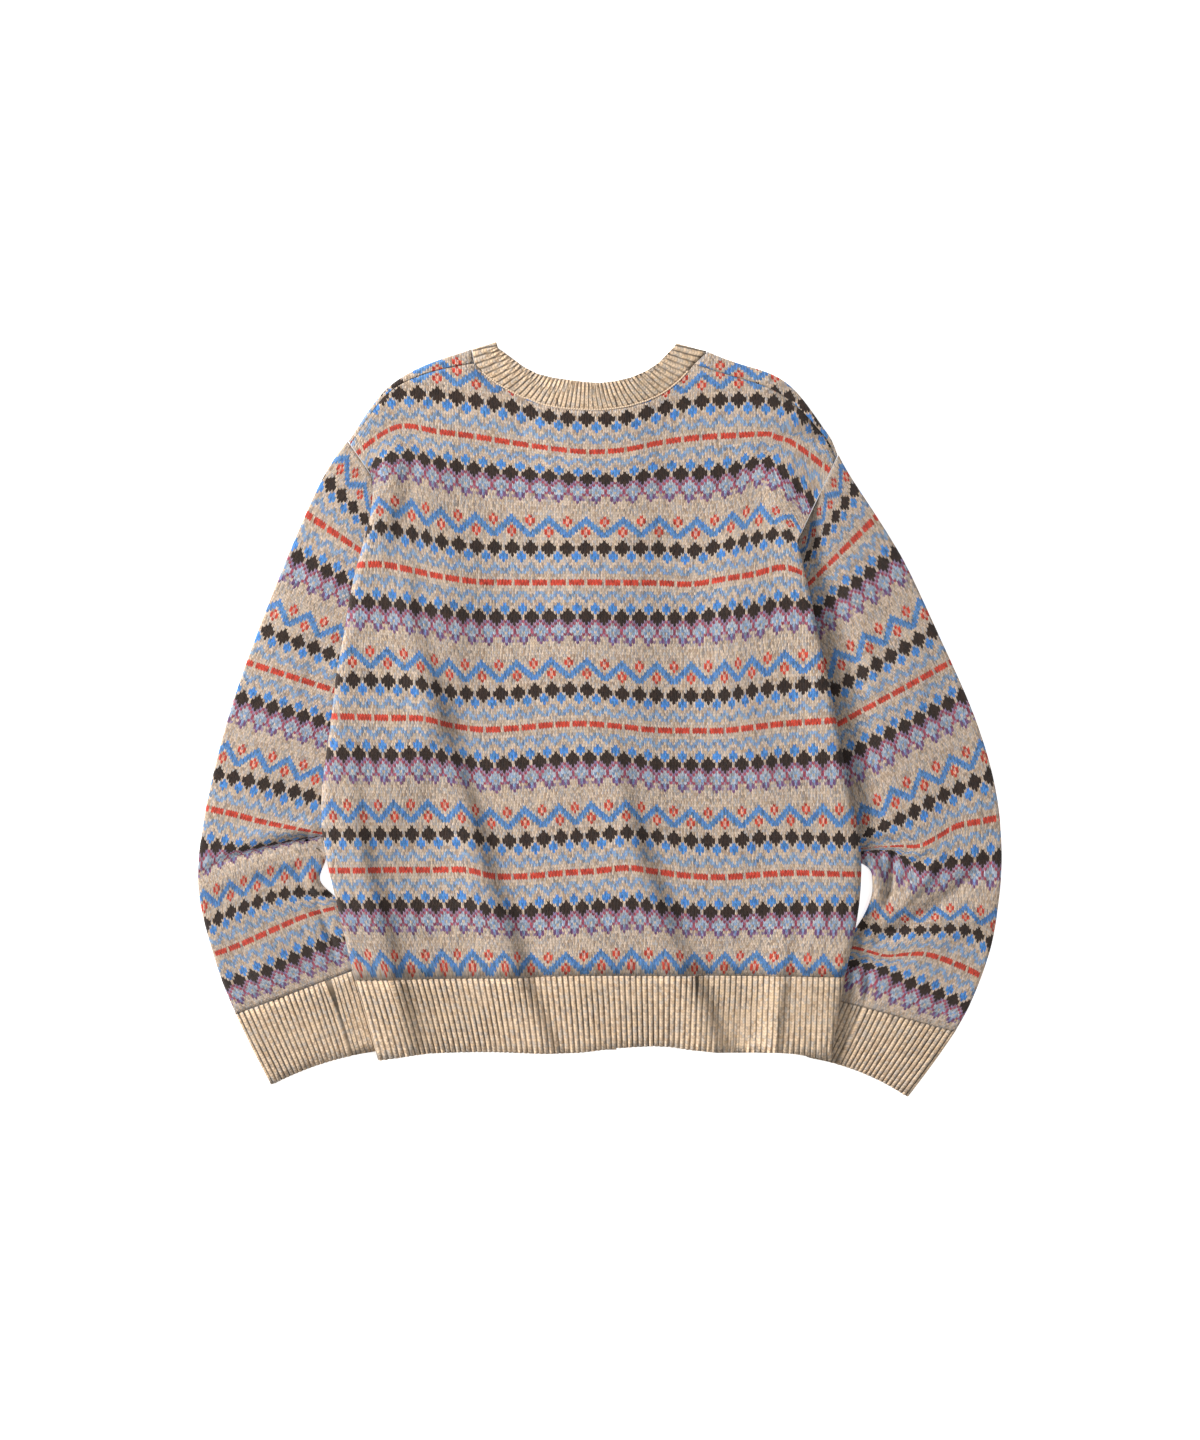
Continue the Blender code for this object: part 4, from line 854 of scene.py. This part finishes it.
def sleeve(side):
    node = f"sleeve_{side}"
    piece = smoothed(merged_copy(node), f"knit_{node}", SLEEVE_LEVELS)
    points = points_of(piece)
    upper = upper_share(points)
    points[:, 2] += upper * relief_of(points[:, 0], points[:, 1], SLEEVE_CREASES[side])
    points[:, 2] = np.maximum(points[:, 2], np.where(upper > 0.5, LOWEST_UPPER, 0.0))
    middle, push, reach = ROLL_PUSH[side]
    near = 1 - smoothstep(np.hypot(*(points[:, :2] - middle).T) / reach)
    points[:, :2] += near[:, None] * push
    move_points(piece, points)
    stitch, row = SLEEVE_NETS[side].read(points[:, :2])
    rows, widths, first = SLEEVE_STITCHES[side]
    edge = -np.interp(row, rows, first) / np.interp(row, rows, widths)
    corners, faces = corner_points(piece)
    heights = np.zeros(len(piece.data.polygons))
    np.add.at(heights, faces, points[corners, 2])
    heights /= np.bincount(faces)
    under = (heights < BETWEEN_WALLS)[faces]
    counted = np.where(under, 2 * edge[corners] - stitch[corners], stitch[corners])
    write_uv(piece, "knit", np.column_stack([counted, row[corners]]))
    return dressed(piece, KNIT)


SLEEVE_PIECES = [sleeve(side) for side in ("left", "right")]

# %% [markdown]
# ## The ribbed pieces
#
# On the solids the ribs are plain ridges. Following them from point to point along each ribbed row gives
# every point a rib number. After smoothing, that number raises round ribs with narrow grooves, and it also
# places the stitches along them. Points without ridges take their numbers from the nearest ribbed point.

# %% Rib numbers
RIB_RISE = 0.75  # mm
RIB_FLANK = 0.6  # share of a rib's half width in which it rises
RIB_EDGES = (1.2, 3.1)  # mm: the distance from a ridge to its groove lies between these
FEWEST_IN_ROW = 20
ALONG_ROW = 0.6  # an edge whose cosine to the row is below this leads off the row
PITCH = {"hem": 4.9, "cuff": 4.5, "neckband": 4.1, "button": 4.5}  # mm from rib to rib


def number_ribs(shell, across, pitch):
    """Writes a rib number and a mask on the shell's points, from its own ridges."""
    place = shell.verts.layers.float.new("rib_place")
    mask = shell.verts.layers.float.new("rib_mask")
    crease = shell.edges.layers.float["crease_edge"]
    inner = {v for v in shell.verts if not any(e[crease] > 0 for e in v.link_edges)}

    def neighbours(vert):
        return [e.other_vert(vert) for e in vert.link_edges
                if e.other_vert(vert) in inner and RIB_EDGES[0] < e.calc_length() / MM < RIB_EDGES[1]]

    rows, seen = [], set()
    for start in sorted((v for v in inner if len(neighbours(v)) == 1), key=lambda v: v.index):
        if start in seen:
            continue
        row, last = [start], None
        while True:
            seen.add(row[-1])
            ahead = [v for v in neighbours(row[-1]) if v is not last and v not in seen]
            if not ahead:
                break
            last = row[-1]
            row.append(ahead[0])
        if len(row) > FEWEST_IN_ROW:
            rows.append(row)
    for row in rows:
        out = [(here.co - (before.co + after.co) / 2).dot(here.normal)
               for before, here, after in zip(row, row[1:], row[2:])]
        odd_is_ridge = sum(out[0::2]) > sum(out[1::2])
        for k, vert in enumerate(row):
            number = (k + (0 if odd_is_ridge else 1)) / 2
            vert[place], vert[mask] = number, 1.0
            before, after = row[max(k - 1, 0)], row[min(k + 1, len(row) - 1)]
            tangent = (after.co - before.co).normalized()
            for edge in vert.link_edges:
                other = edge.other_vert(vert)
                way = (other.co - vert.co).normalized()
                if abs(way.dot(tangent)) < ALONG_ROW and other[mask] == 0.0:
                    other[place], other[mask] = number, 1.0
    known = [v for v in shell.verts if v[mask] > 0]
    if known:
        tree = KDTree(len(known))
        for k, vert in enumerate(known):
            tree.insert(vert.co, k)
        tree.balance()
        sample = [(across(np.array(v.co) / MM - CENTRE), v[place]) for v in known]
        fall = np.polyfit([a for a, _ in sample], [n for _, n in sample], 1)[0]
        sign = math.copysign(1.0, fall)
    for vert in shell.verts:
        if vert[mask] == 0.0:
            here = across(np.array(vert.co) / MM - CENTRE)
            if known:
                near = known[tree.find(vert.co)[1]]
                vert[place] = near[place] + sign * (here - across(np.array(near.co) / MM - CENTRE)) / pitch
            else:
                vert[place] = here / pitch
    return len(rows), len(known)


def attribute(piece, name):
    values = np.empty(len(piece.data.vertices))
    piece.data.attributes[name].data.foreach_get("value", values)
    return values


RIB_LEVELS = 2
RIB_ROW = 2.56  # mm from one stitch to the next along a rib


def ribbed(node, kind, across, down, creases=()):
    """A ribbed piece; across and down give millimetres over and along the ribs at a point."""
    shell = merged_copy(node)
    found = number_ribs(shell, across, PITCH[kind])
    piece = smoothed(shell, f"rib_{node}", RIB_LEVELS)
    points, normals = points_of(piece), point_normals(piece)
    number, mask = attribute(piece, "rib_place"), attribute(piece, "rib_mask")
    ridge = 1.0 - np.abs(2.0 * (number % 1.0) - 1.0)
    rise = RIB_RISE * (smoothstep(ridge / RIB_FLANK) - 0.5)
    lifted = relief_of(points[:, 0], points[:, 1], creases)
    points += normals * (rise * smoothstep(mask * 2 - 1))[:, None]
    points[:, 2] += lifted
    points[:, 2] = np.maximum(points[:, 2], 0.0)
    move_points(piece, points)
    corners, _ = corner_points(piece)
    rows = np.array([down(p) for p in points]) / RIB_ROW
    write_uv(piece, "rib", np.column_stack([number, rows])[corners])
    for name in ("rib_place", "rib_mask"):
        piece.data.attributes.remove(piece.data.attributes[name])
    print("ribbed rows and points:", found)
    return dressed(piece, RIB)


def along_line(start, end):
    """Millimetres over and along, for a piece whose ribs stand across this line."""
    start, end = np.array(start, float), np.array(end, float)
    way = (end - start) / np.linalg.norm(end - start)
    side = np.array([way[1], -way[0]])
    return (lambda p: float((p[:2] - start) @ way)), (lambda p: float((p[:2] - start) @ side))


NECK_MIDDLE, NECK_RADIUS = np.array([-12.0, 352.0]), 70.0  # mm


def neck_across(p):
    return float(math.atan2(p[1] - NECK_MIDDLE[1], p[0] - NECK_MIDDLE[0]) % (2 * math.pi)) * NECK_RADIUS


def neck_down(p):
    return float(np.hypot(*(p[:2] - NECK_MIDDLE)))


HEM_CREASES = (
    *(crease for line in HEM_FOLD_LINES for crease in fold(*line, HEM_FOOT)),
    (((-190, -232), (-184, -262), (-180, -300)), 12, (0.3, 1.0, 0.6)),
    (((-20, -232), (-8, -262), (0, -300)), 16, (0.3, 0.8, 0.3)),
)
HEM_TOP = along_line((0, -232), (100, -232))
LEFT_WRIST = along_line((-327.6, -264.6), (-212.4, -221.4))
RIGHT_WRIST = along_line((319.5, -279.9), (205.2, -249.3))
OPENING = along_line((0, 0), (0, 100))
RIB_PIECES = {
    "hem_back": ribbed("hem_back", "hem", *HEM_TOP, HEM_CREASES),
    "hem_front_left": ribbed("hem_front_left", "hem", *HEM_TOP),
    "hem_front_right": ribbed("hem_front_right", "hem", *HEM_TOP),
    "cuff_left": ribbed("cuff_left", "cuff", *LEFT_WRIST),
    "cuff_right": ribbed("cuff_right", "cuff", *RIGHT_WRIST),
    "neckband": ribbed("neckband", "neckband", neck_across, neck_down),
    "button_band_left": ribbed("button_band_left", "button", *OPENING),
    "button_band_right": ribbed("button_band_right", "button", *OPENING),
}

# %% [markdown]
# ## Linking stitches
#
# The neckband is linked to the body by a chain of small loops along its outer edge. One Geometry Nodes tree
# lays stitches along any line: it spaces points on the line, turns one flat loop along it and sets the loop
# on each point. The same tree sews the two short dark rows below the neckband and the buttons. The drawing's
# middle lies within a millimetre of the frame's origin, so its places serve for stitches as they are.

# %% Stitches along a line
def stitch_tree():
    tree = bpy.data.node_groups.new("stitches along a line", "GeometryNodeTree")
    for name, kind in (("Line", "NodeSocketGeometry"), ("Spacing", "NodeSocketFloat"),
                       ("Loop", "NodeSocketVector"), ("Yarn", "NodeSocketMaterial")):
        tree.interface.new_socket(name, in_out="INPUT", socket_type=kind)
    tree.interface.new_socket("Stitches", in_out="OUTPUT", socket_type="NodeSocketGeometry")

    def add(kind, settings, values):
        made = tree.nodes.new(kind)
        for setting, value in settings.items():
            setattr(made, setting, value)
        for name, value in values.items():
            if isinstance(value, bpy.types.NodeSocket):
                tree.links.new(value, made.inputs[name])
            else:
                made.inputs[name].default_value = value
        return made.outputs[0] if made.outputs else None

    given = tree.nodes.new("NodeGroupInput").outputs
    curve = add("GeometryNodeMeshToCurve", {}, {"Mesh": given["Line"]})
    spaced = add("GeometryNodeResampleCurve", {"mode": "LENGTH"}, {
        "Curve": curve, "Length": given["Spacing"]})
    loop = add("GeometryNodeMeshUVSphere", {}, {"Segments": 8, "Rings": 6})
    along = add("GeometryNodeInputTangent", {}, {})
    turned = add("FunctionNodeAlignRotationToVector", {"axis": "X"}, {"Vector": along})
    placed = add("GeometryNodeInstanceOnPoints", {}, {
        "Points": spaced, "Instance": loop, "Rotation": turned, "Scale": given["Loop"]})
    real = add("GeometryNodeRealizeInstances", {}, {"Geometry": placed})
    dyed = add("GeometryNodeSetMaterial", {}, {"Geometry": real, "Material": given["Yarn"]})
    add("NodeGroupOutput", {}, {"Stitches": dyed})
    return tree


STITCH_TREE = stitch_tree()


def stitches(name, lines, spacing, loop, yarn):
    """Loops of yarn along lines of points, in mm from the frame's origin.

    loop gives a stitch's length, width and height in mm.
    """
    places = [tuple(np.asarray(p, float) * MM) for line in lines for p in line]
    edges, first = [], 0
    for line in lines:
        edges += [(k, k + 1) for k in range(first, first + len(line) - 1)]
        first += len(line)
    mesh = bpy.data.meshes.new(name)
    mesh.from_pydata(places, edges, [])
    piece = bpy.data.objects.new(name, mesh)
    bpy.context.scene.collection.objects.link(piece)
    sewing = piece.modifiers.new("sewing", "NODES")
    sewing.node_group = STITCH_TREE
    items = STITCH_TREE.interface.items_tree
    inputs = {item.name: item.identifier for item in items if item.in_out == "INPUT"}
    sewing[inputs["Spacing"]] = spacing * MM
    sewing[inputs["Loop"]] = tuple(size / 2 * MM for size in loop)
    sewing[inputs["Yarn"]] = yarn
    done = bpy.data.meshes.new_from_object(piece.evaluated_get(bpy.context.evaluated_depsgraph_get()))
    piece.modifiers.clear()
    piece.data = done
    done.shade_smooth()
    print(name, triangles(piece), "triangles")
    return piece


THREAD_CLOUDS, THREAD_DEPTH = 900.0, 0.0001  # per metre, and metres


def plain_yarn(name, shade):
    finish = Finish(name)
    finish.shader.inputs["Base Color"].default_value = shade
    finish.shader.inputs["Roughness"].default_value = 0.85
    finish.relief(finish.cloudy(THREAD_CLOUDS), THREAD_DEPTH)
    return finish.material


ABOVE_ALL = 200.0  # mm


def height_on(pieces, x, y):
    """How high the topmost cloth lies at a place, in mm; 0 where there is none."""
    top = 0.0
    for piece in pieces:
        hit, place, _, _ = piece.ray_cast(Vector((x, y, ABOVE_ALL)) * MM, Vector((0.0, 0.0, -1.0)))
        if hit:
            top = max(top, place.z / MM)
    return top


# %% The linking chain
LINKED = range(204, 337, 3)  # degrees round the neck's middle, where the neckband lies on the back
NECK_SEARCH = np.arange(40.0, 150.0, 0.25)  # mm from the neck's middle, where the band's edge is looked for
LINKING_INSET = 0.1  # mm inside the edge
LINKING_SPACING, LINKING_LOOP = 2.3, (2.8, 1.8, 1.4)  # mm
EDGE_ROUND = 0.6  # mm: how far in from its edge the band is nearly as high as its middle


def neck_edge():
    """The band's outer edge on the back: the last place, going outwards, where the band lies uppermost."""
    band = RIB_PIECES["neckband"]
    line = []
    for degrees in LINKED:
        way = np.array((math.cos(math.radians(degrees)), math.sin(math.radians(degrees))))
        places = [NECK_MIDDLE + radius * way for radius in NECK_SEARCH]
        edge = [place for place in places if height_on([band], *place) > height_on([BACK], *place)][-1]
        line.append((*(edge - LINKING_INSET * way), height_on([band], *(edge - EDGE_ROUND * way))))
    return line


bpy.context.view_layer.update()
OAT_YARN = plain_yarn("oat_yarn", colour(206, 182, 156))
LINKING = stitches("linking", [neck_edge()], LINKING_SPACING, LINKING_LOOP, OAT_YARN)

# %% Two dark rows of stitches
DARK_THREAD = plain_yarn("dark_thread", colour(70, 54, 46))
DARK_ROWS = (((557, 401), (559, 411.5)), ((615, 399), (616.5, 408)))  # their ends, in the picture's steps
ON_CLOTH = 0.1  # mm above the cloth
DARK_SPACING, DARK_LOOP = 1.5, (1.7, 0.9, 0.6)  # mm


def on_cloth(ends):
    cloth = (RIB_PIECES["neckband"], BACK)
    return [(x, y, height_on(cloth, x, y) + ON_CLOTH) for x, y in drawn(ends)]


LABEL_STITCHES = stitches("label_stitches", [on_cloth(ends) for ends in DARK_ROWS], DARK_SPACING, DARK_LOOP,
                          DARK_THREAD)

# %% [markdown]
# ## The buttons
#
# Each button is a turned disc with a raised rim and four holes, sewn on with two bars of thread. They are on
# the side that lies on the floor, so they only show when the part is turned over. A Boolean cuts the holes
# after the smoothing, which would otherwise round them away.

# %% Button finish and shape
def button_finish():
    finish = Finish("button")
    grain = finish.cloudy(90.0, 4.0)
    horn = finish.mix(grain, colour(70, 48, 34), colour(128, 92, 62))
    finish.feed(finish.shader.inputs["Base Color"], horn)
    finish.feed(finish.shader.inputs["Roughness"], finish.cloudy(400.0) * 0.2 + 0.25)
    finish.relief(finish.cloudy(900.0), 0.00005)
    return finish.material


HORN = button_finish()
print("material", HORN.name, len(HORN.node_tree.nodes), "nodes")
BUTTON_COUNT, BUTTON_LEVELS = 7, 2
HOLES, HOLE_RADIUS, HOLE_REACH = 4, 0.9, 2.0  # mm; the reach is from the button's middle to a hole's
DRILL_LENGTH, DRILL_SIDES = 8.0, 12
RIM_ANGLE = math.radians(40)  # an edge sharper than this stays sharp in the shading


def cut_button(node):
    piece = smoothed(merged_copy(node), f"sewn_{node}", BUTTON_LEVELS)
    low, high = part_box(node)
    middle = (low + high) / 2
    drills = bmesh.new()
    for k in range(HOLES):
        angle = (k + 0.5) * 2 * math.pi / HOLES
        made = bmesh.ops.create_cone(drills, cap_ends=True, segments=DRILL_SIDES, radius1=HOLE_RADIUS * MM,
                                     radius2=HOLE_RADIUS * MM, depth=DRILL_LENGTH * MM)
        bmesh.ops.translate(drills, verts=made["verts"], vec=middle + Vector(
            (HOLE_REACH * MM * math.cos(angle), HOLE_REACH * MM * math.sin(angle), 0)))
    tool_mesh = bpy.data.meshes.new("drills")
    drills.to_mesh(tool_mesh)
    drills.free()
    tool = bpy.data.objects.new("drills", tool_mesh)
    bpy.context.scene.collection.objects.link(tool)
    cut = piece.modifiers.new("holes", "BOOLEAN")
    cut.operation, cut.object, cut.solver = "DIFFERENCE", tool, "EXACT"
    done = bpy.data.meshes.new_from_object(piece.evaluated_get(bpy.context.evaluated_depsgraph_get()))
    piece.modifiers.clear()
    piece.data = done
    bpy.data.objects.remove(tool)
    dressed(piece, HORN)
    done.set_sharp_from_angle(angle=RIM_ANGLE)
    return piece


BUTTONS = {f"button_{k}": cut_button(f"button_{k}") for k in range(1, BUTTON_COUNT + 1)}

# %% The buttons' thread
BAR_LENGTH, BAR_HEIGHT = 2.8, 0.9  # mm; the height is over the button's lowest point, inside its rim
BAR_SPACING, BAR_LOOP = 0.7, (1.2, 0.6, 0.6)  # mm


def thread_bars():
    """Two short bars of thread across the holes of each button, on the side that lies on the floor."""
    lines = []
    for node in BUTTONS:
        low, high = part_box(node)
        middle = (low + high) / 2 / MM
        for side in (-1, 1):
            y, z = middle.y + side * HOLE_REACH / math.sqrt(2), low.z / MM + BAR_HEIGHT
            lines.append([(middle.x - BAR_LENGTH / 2, y, z), (middle.x + BAR_LENGTH / 2, y, z)])
    return lines


BARS = stitches("button_thread", thread_bars(), BAR_SPACING, BAR_LOOP, DARK_THREAD)

# %% [markdown]
# ## Floor, light and camera
#
# The floor is plain white and glows a little, so that it stays white in the garment's shadow. One wide lamp
# stands low at the upper left, so that the folds show and the body's right edge throws a soft shadow on the
# sleeve. A weak lamp on the other side and a pale sky fill the shadows. The camera looks straight down.

# %% Stage
FLOOR_REACH, FLOOR_GLOW = 6.0, 0.7  # metres from the middle to the floor's sides; strength


def floor_piece():
    sheet = bmesh.new()
    bmesh.ops.create_grid(sheet, x_segments=1, y_segments=1, size=FLOOR_REACH)
    mesh = bpy.data.meshes.new("floor")
    sheet.to_mesh(mesh)
    sheet.free()
    floor = bpy.data.objects.new("floor", mesh)
    bpy.context.scene.collection.objects.link(floor)
    finish = Finish("pale_floor")
    finish.shader.inputs["Base Color"].default_value = colour(250, 250, 250)
    finish.shader.inputs["Emission Color"].default_value = (1.0, 1.0, 1.0, 1.0)
    finish.shader.inputs["Emission Strength"].default_value = FLOOR_GLOW
    finish.shader.inputs["Roughness"].default_value = 0.9
    mesh.materials.append(finish.material)
    return floor


FLOOR = floor_piece()


LAMP_WIDTH = 1.6  # metres
LAMPS = (  # name, place in metres, watts, tint
    ("key", (-3.4, 2.0, 1.9), 400.0, (1.0, 0.99, 0.975)),
    ("fill", (1.9, -0.9, 3.0), 26.0, (0.97, 0.99, 1.0)),
)
SKY_STRENGTH = 0.34


def lamp(name, place, power, tint):
    """A wide round lamp that looks at the frame's origin."""
    light = bpy.data.lights.new(name, "AREA")
    light.shape, light.size, light.energy, light.color = "DISK", LAMP_WIDTH, power, tint
    holder = bpy.data.objects.new(name, light)
    holder.location = place
    holder.rotation_euler = (-Vector(place)).to_track_quat("-Z", "Y").to_euler()
    bpy.context.scene.collection.objects.link(holder)


for row in LAMPS:
    lamp(*row)
sky = bpy.data.worlds.new("sky")
sky.use_nodes = True
sky.node_tree.nodes["Background"].inputs["Color"].default_value = (1.0, 1.0, 1.0, 1.0)
sky.node_tree.nodes["Background"].inputs["Strength"].default_value = SKY_STRENGTH
bpy.context.scene.world = sky
bpy.context.scene.view_settings.view_transform = "Standard"

# %% Camera
LENS, SENSOR = 85.0, 36.0  # mm
FRAME_HEIGHT = 2 * PHOTO_MIDDLE[1] * PHOTO_SCALE * MM  # metres of floor from the picture's top to its bottom
view = bpy.data.cameras.new("camera")
view.lens, view.sensor_width = LENS, SENSOR
camera = bpy.data.objects.new("camera", view)
camera.location = (CENTRE[0] * MM, CENTRE[1] * MM, FRAME_HEIGHT * LENS / SENSOR)
bpy.context.scene.collection.objects.link(camera)
bpy.context.scene.camera = camera
print("camera height", round(camera.location.z, 3))

# %% [markdown]
# ## Tie every piece to the frame
#
# Each piece rides on the one body, and the CAD node that it replaces is hidden. The stitches ride on the body
# too and replace no node.

# %% Riding
def tie(piece, node):
    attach(piece, "root")
    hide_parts(node)


tie(BACK, "back_panel")
for piece, side in zip(FRONTS, ("left", "right")):
    tie(piece, f"front_{side}")
for piece, side in zip(SLEEVE_PIECES, ("left", "right")):
    tie(piece, f"sleeve_{side}")
for node, piece in RIB_PIECES.items():
    tie(piece, node)
for node, piece in BUTTONS.items():
    tie(piece, node)
for piece, slot in ((LINKING, "rib_knit"), (LABEL_STITCHES, "fair_isle_knit"), (BARS, "button")):
    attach(piece, "root")
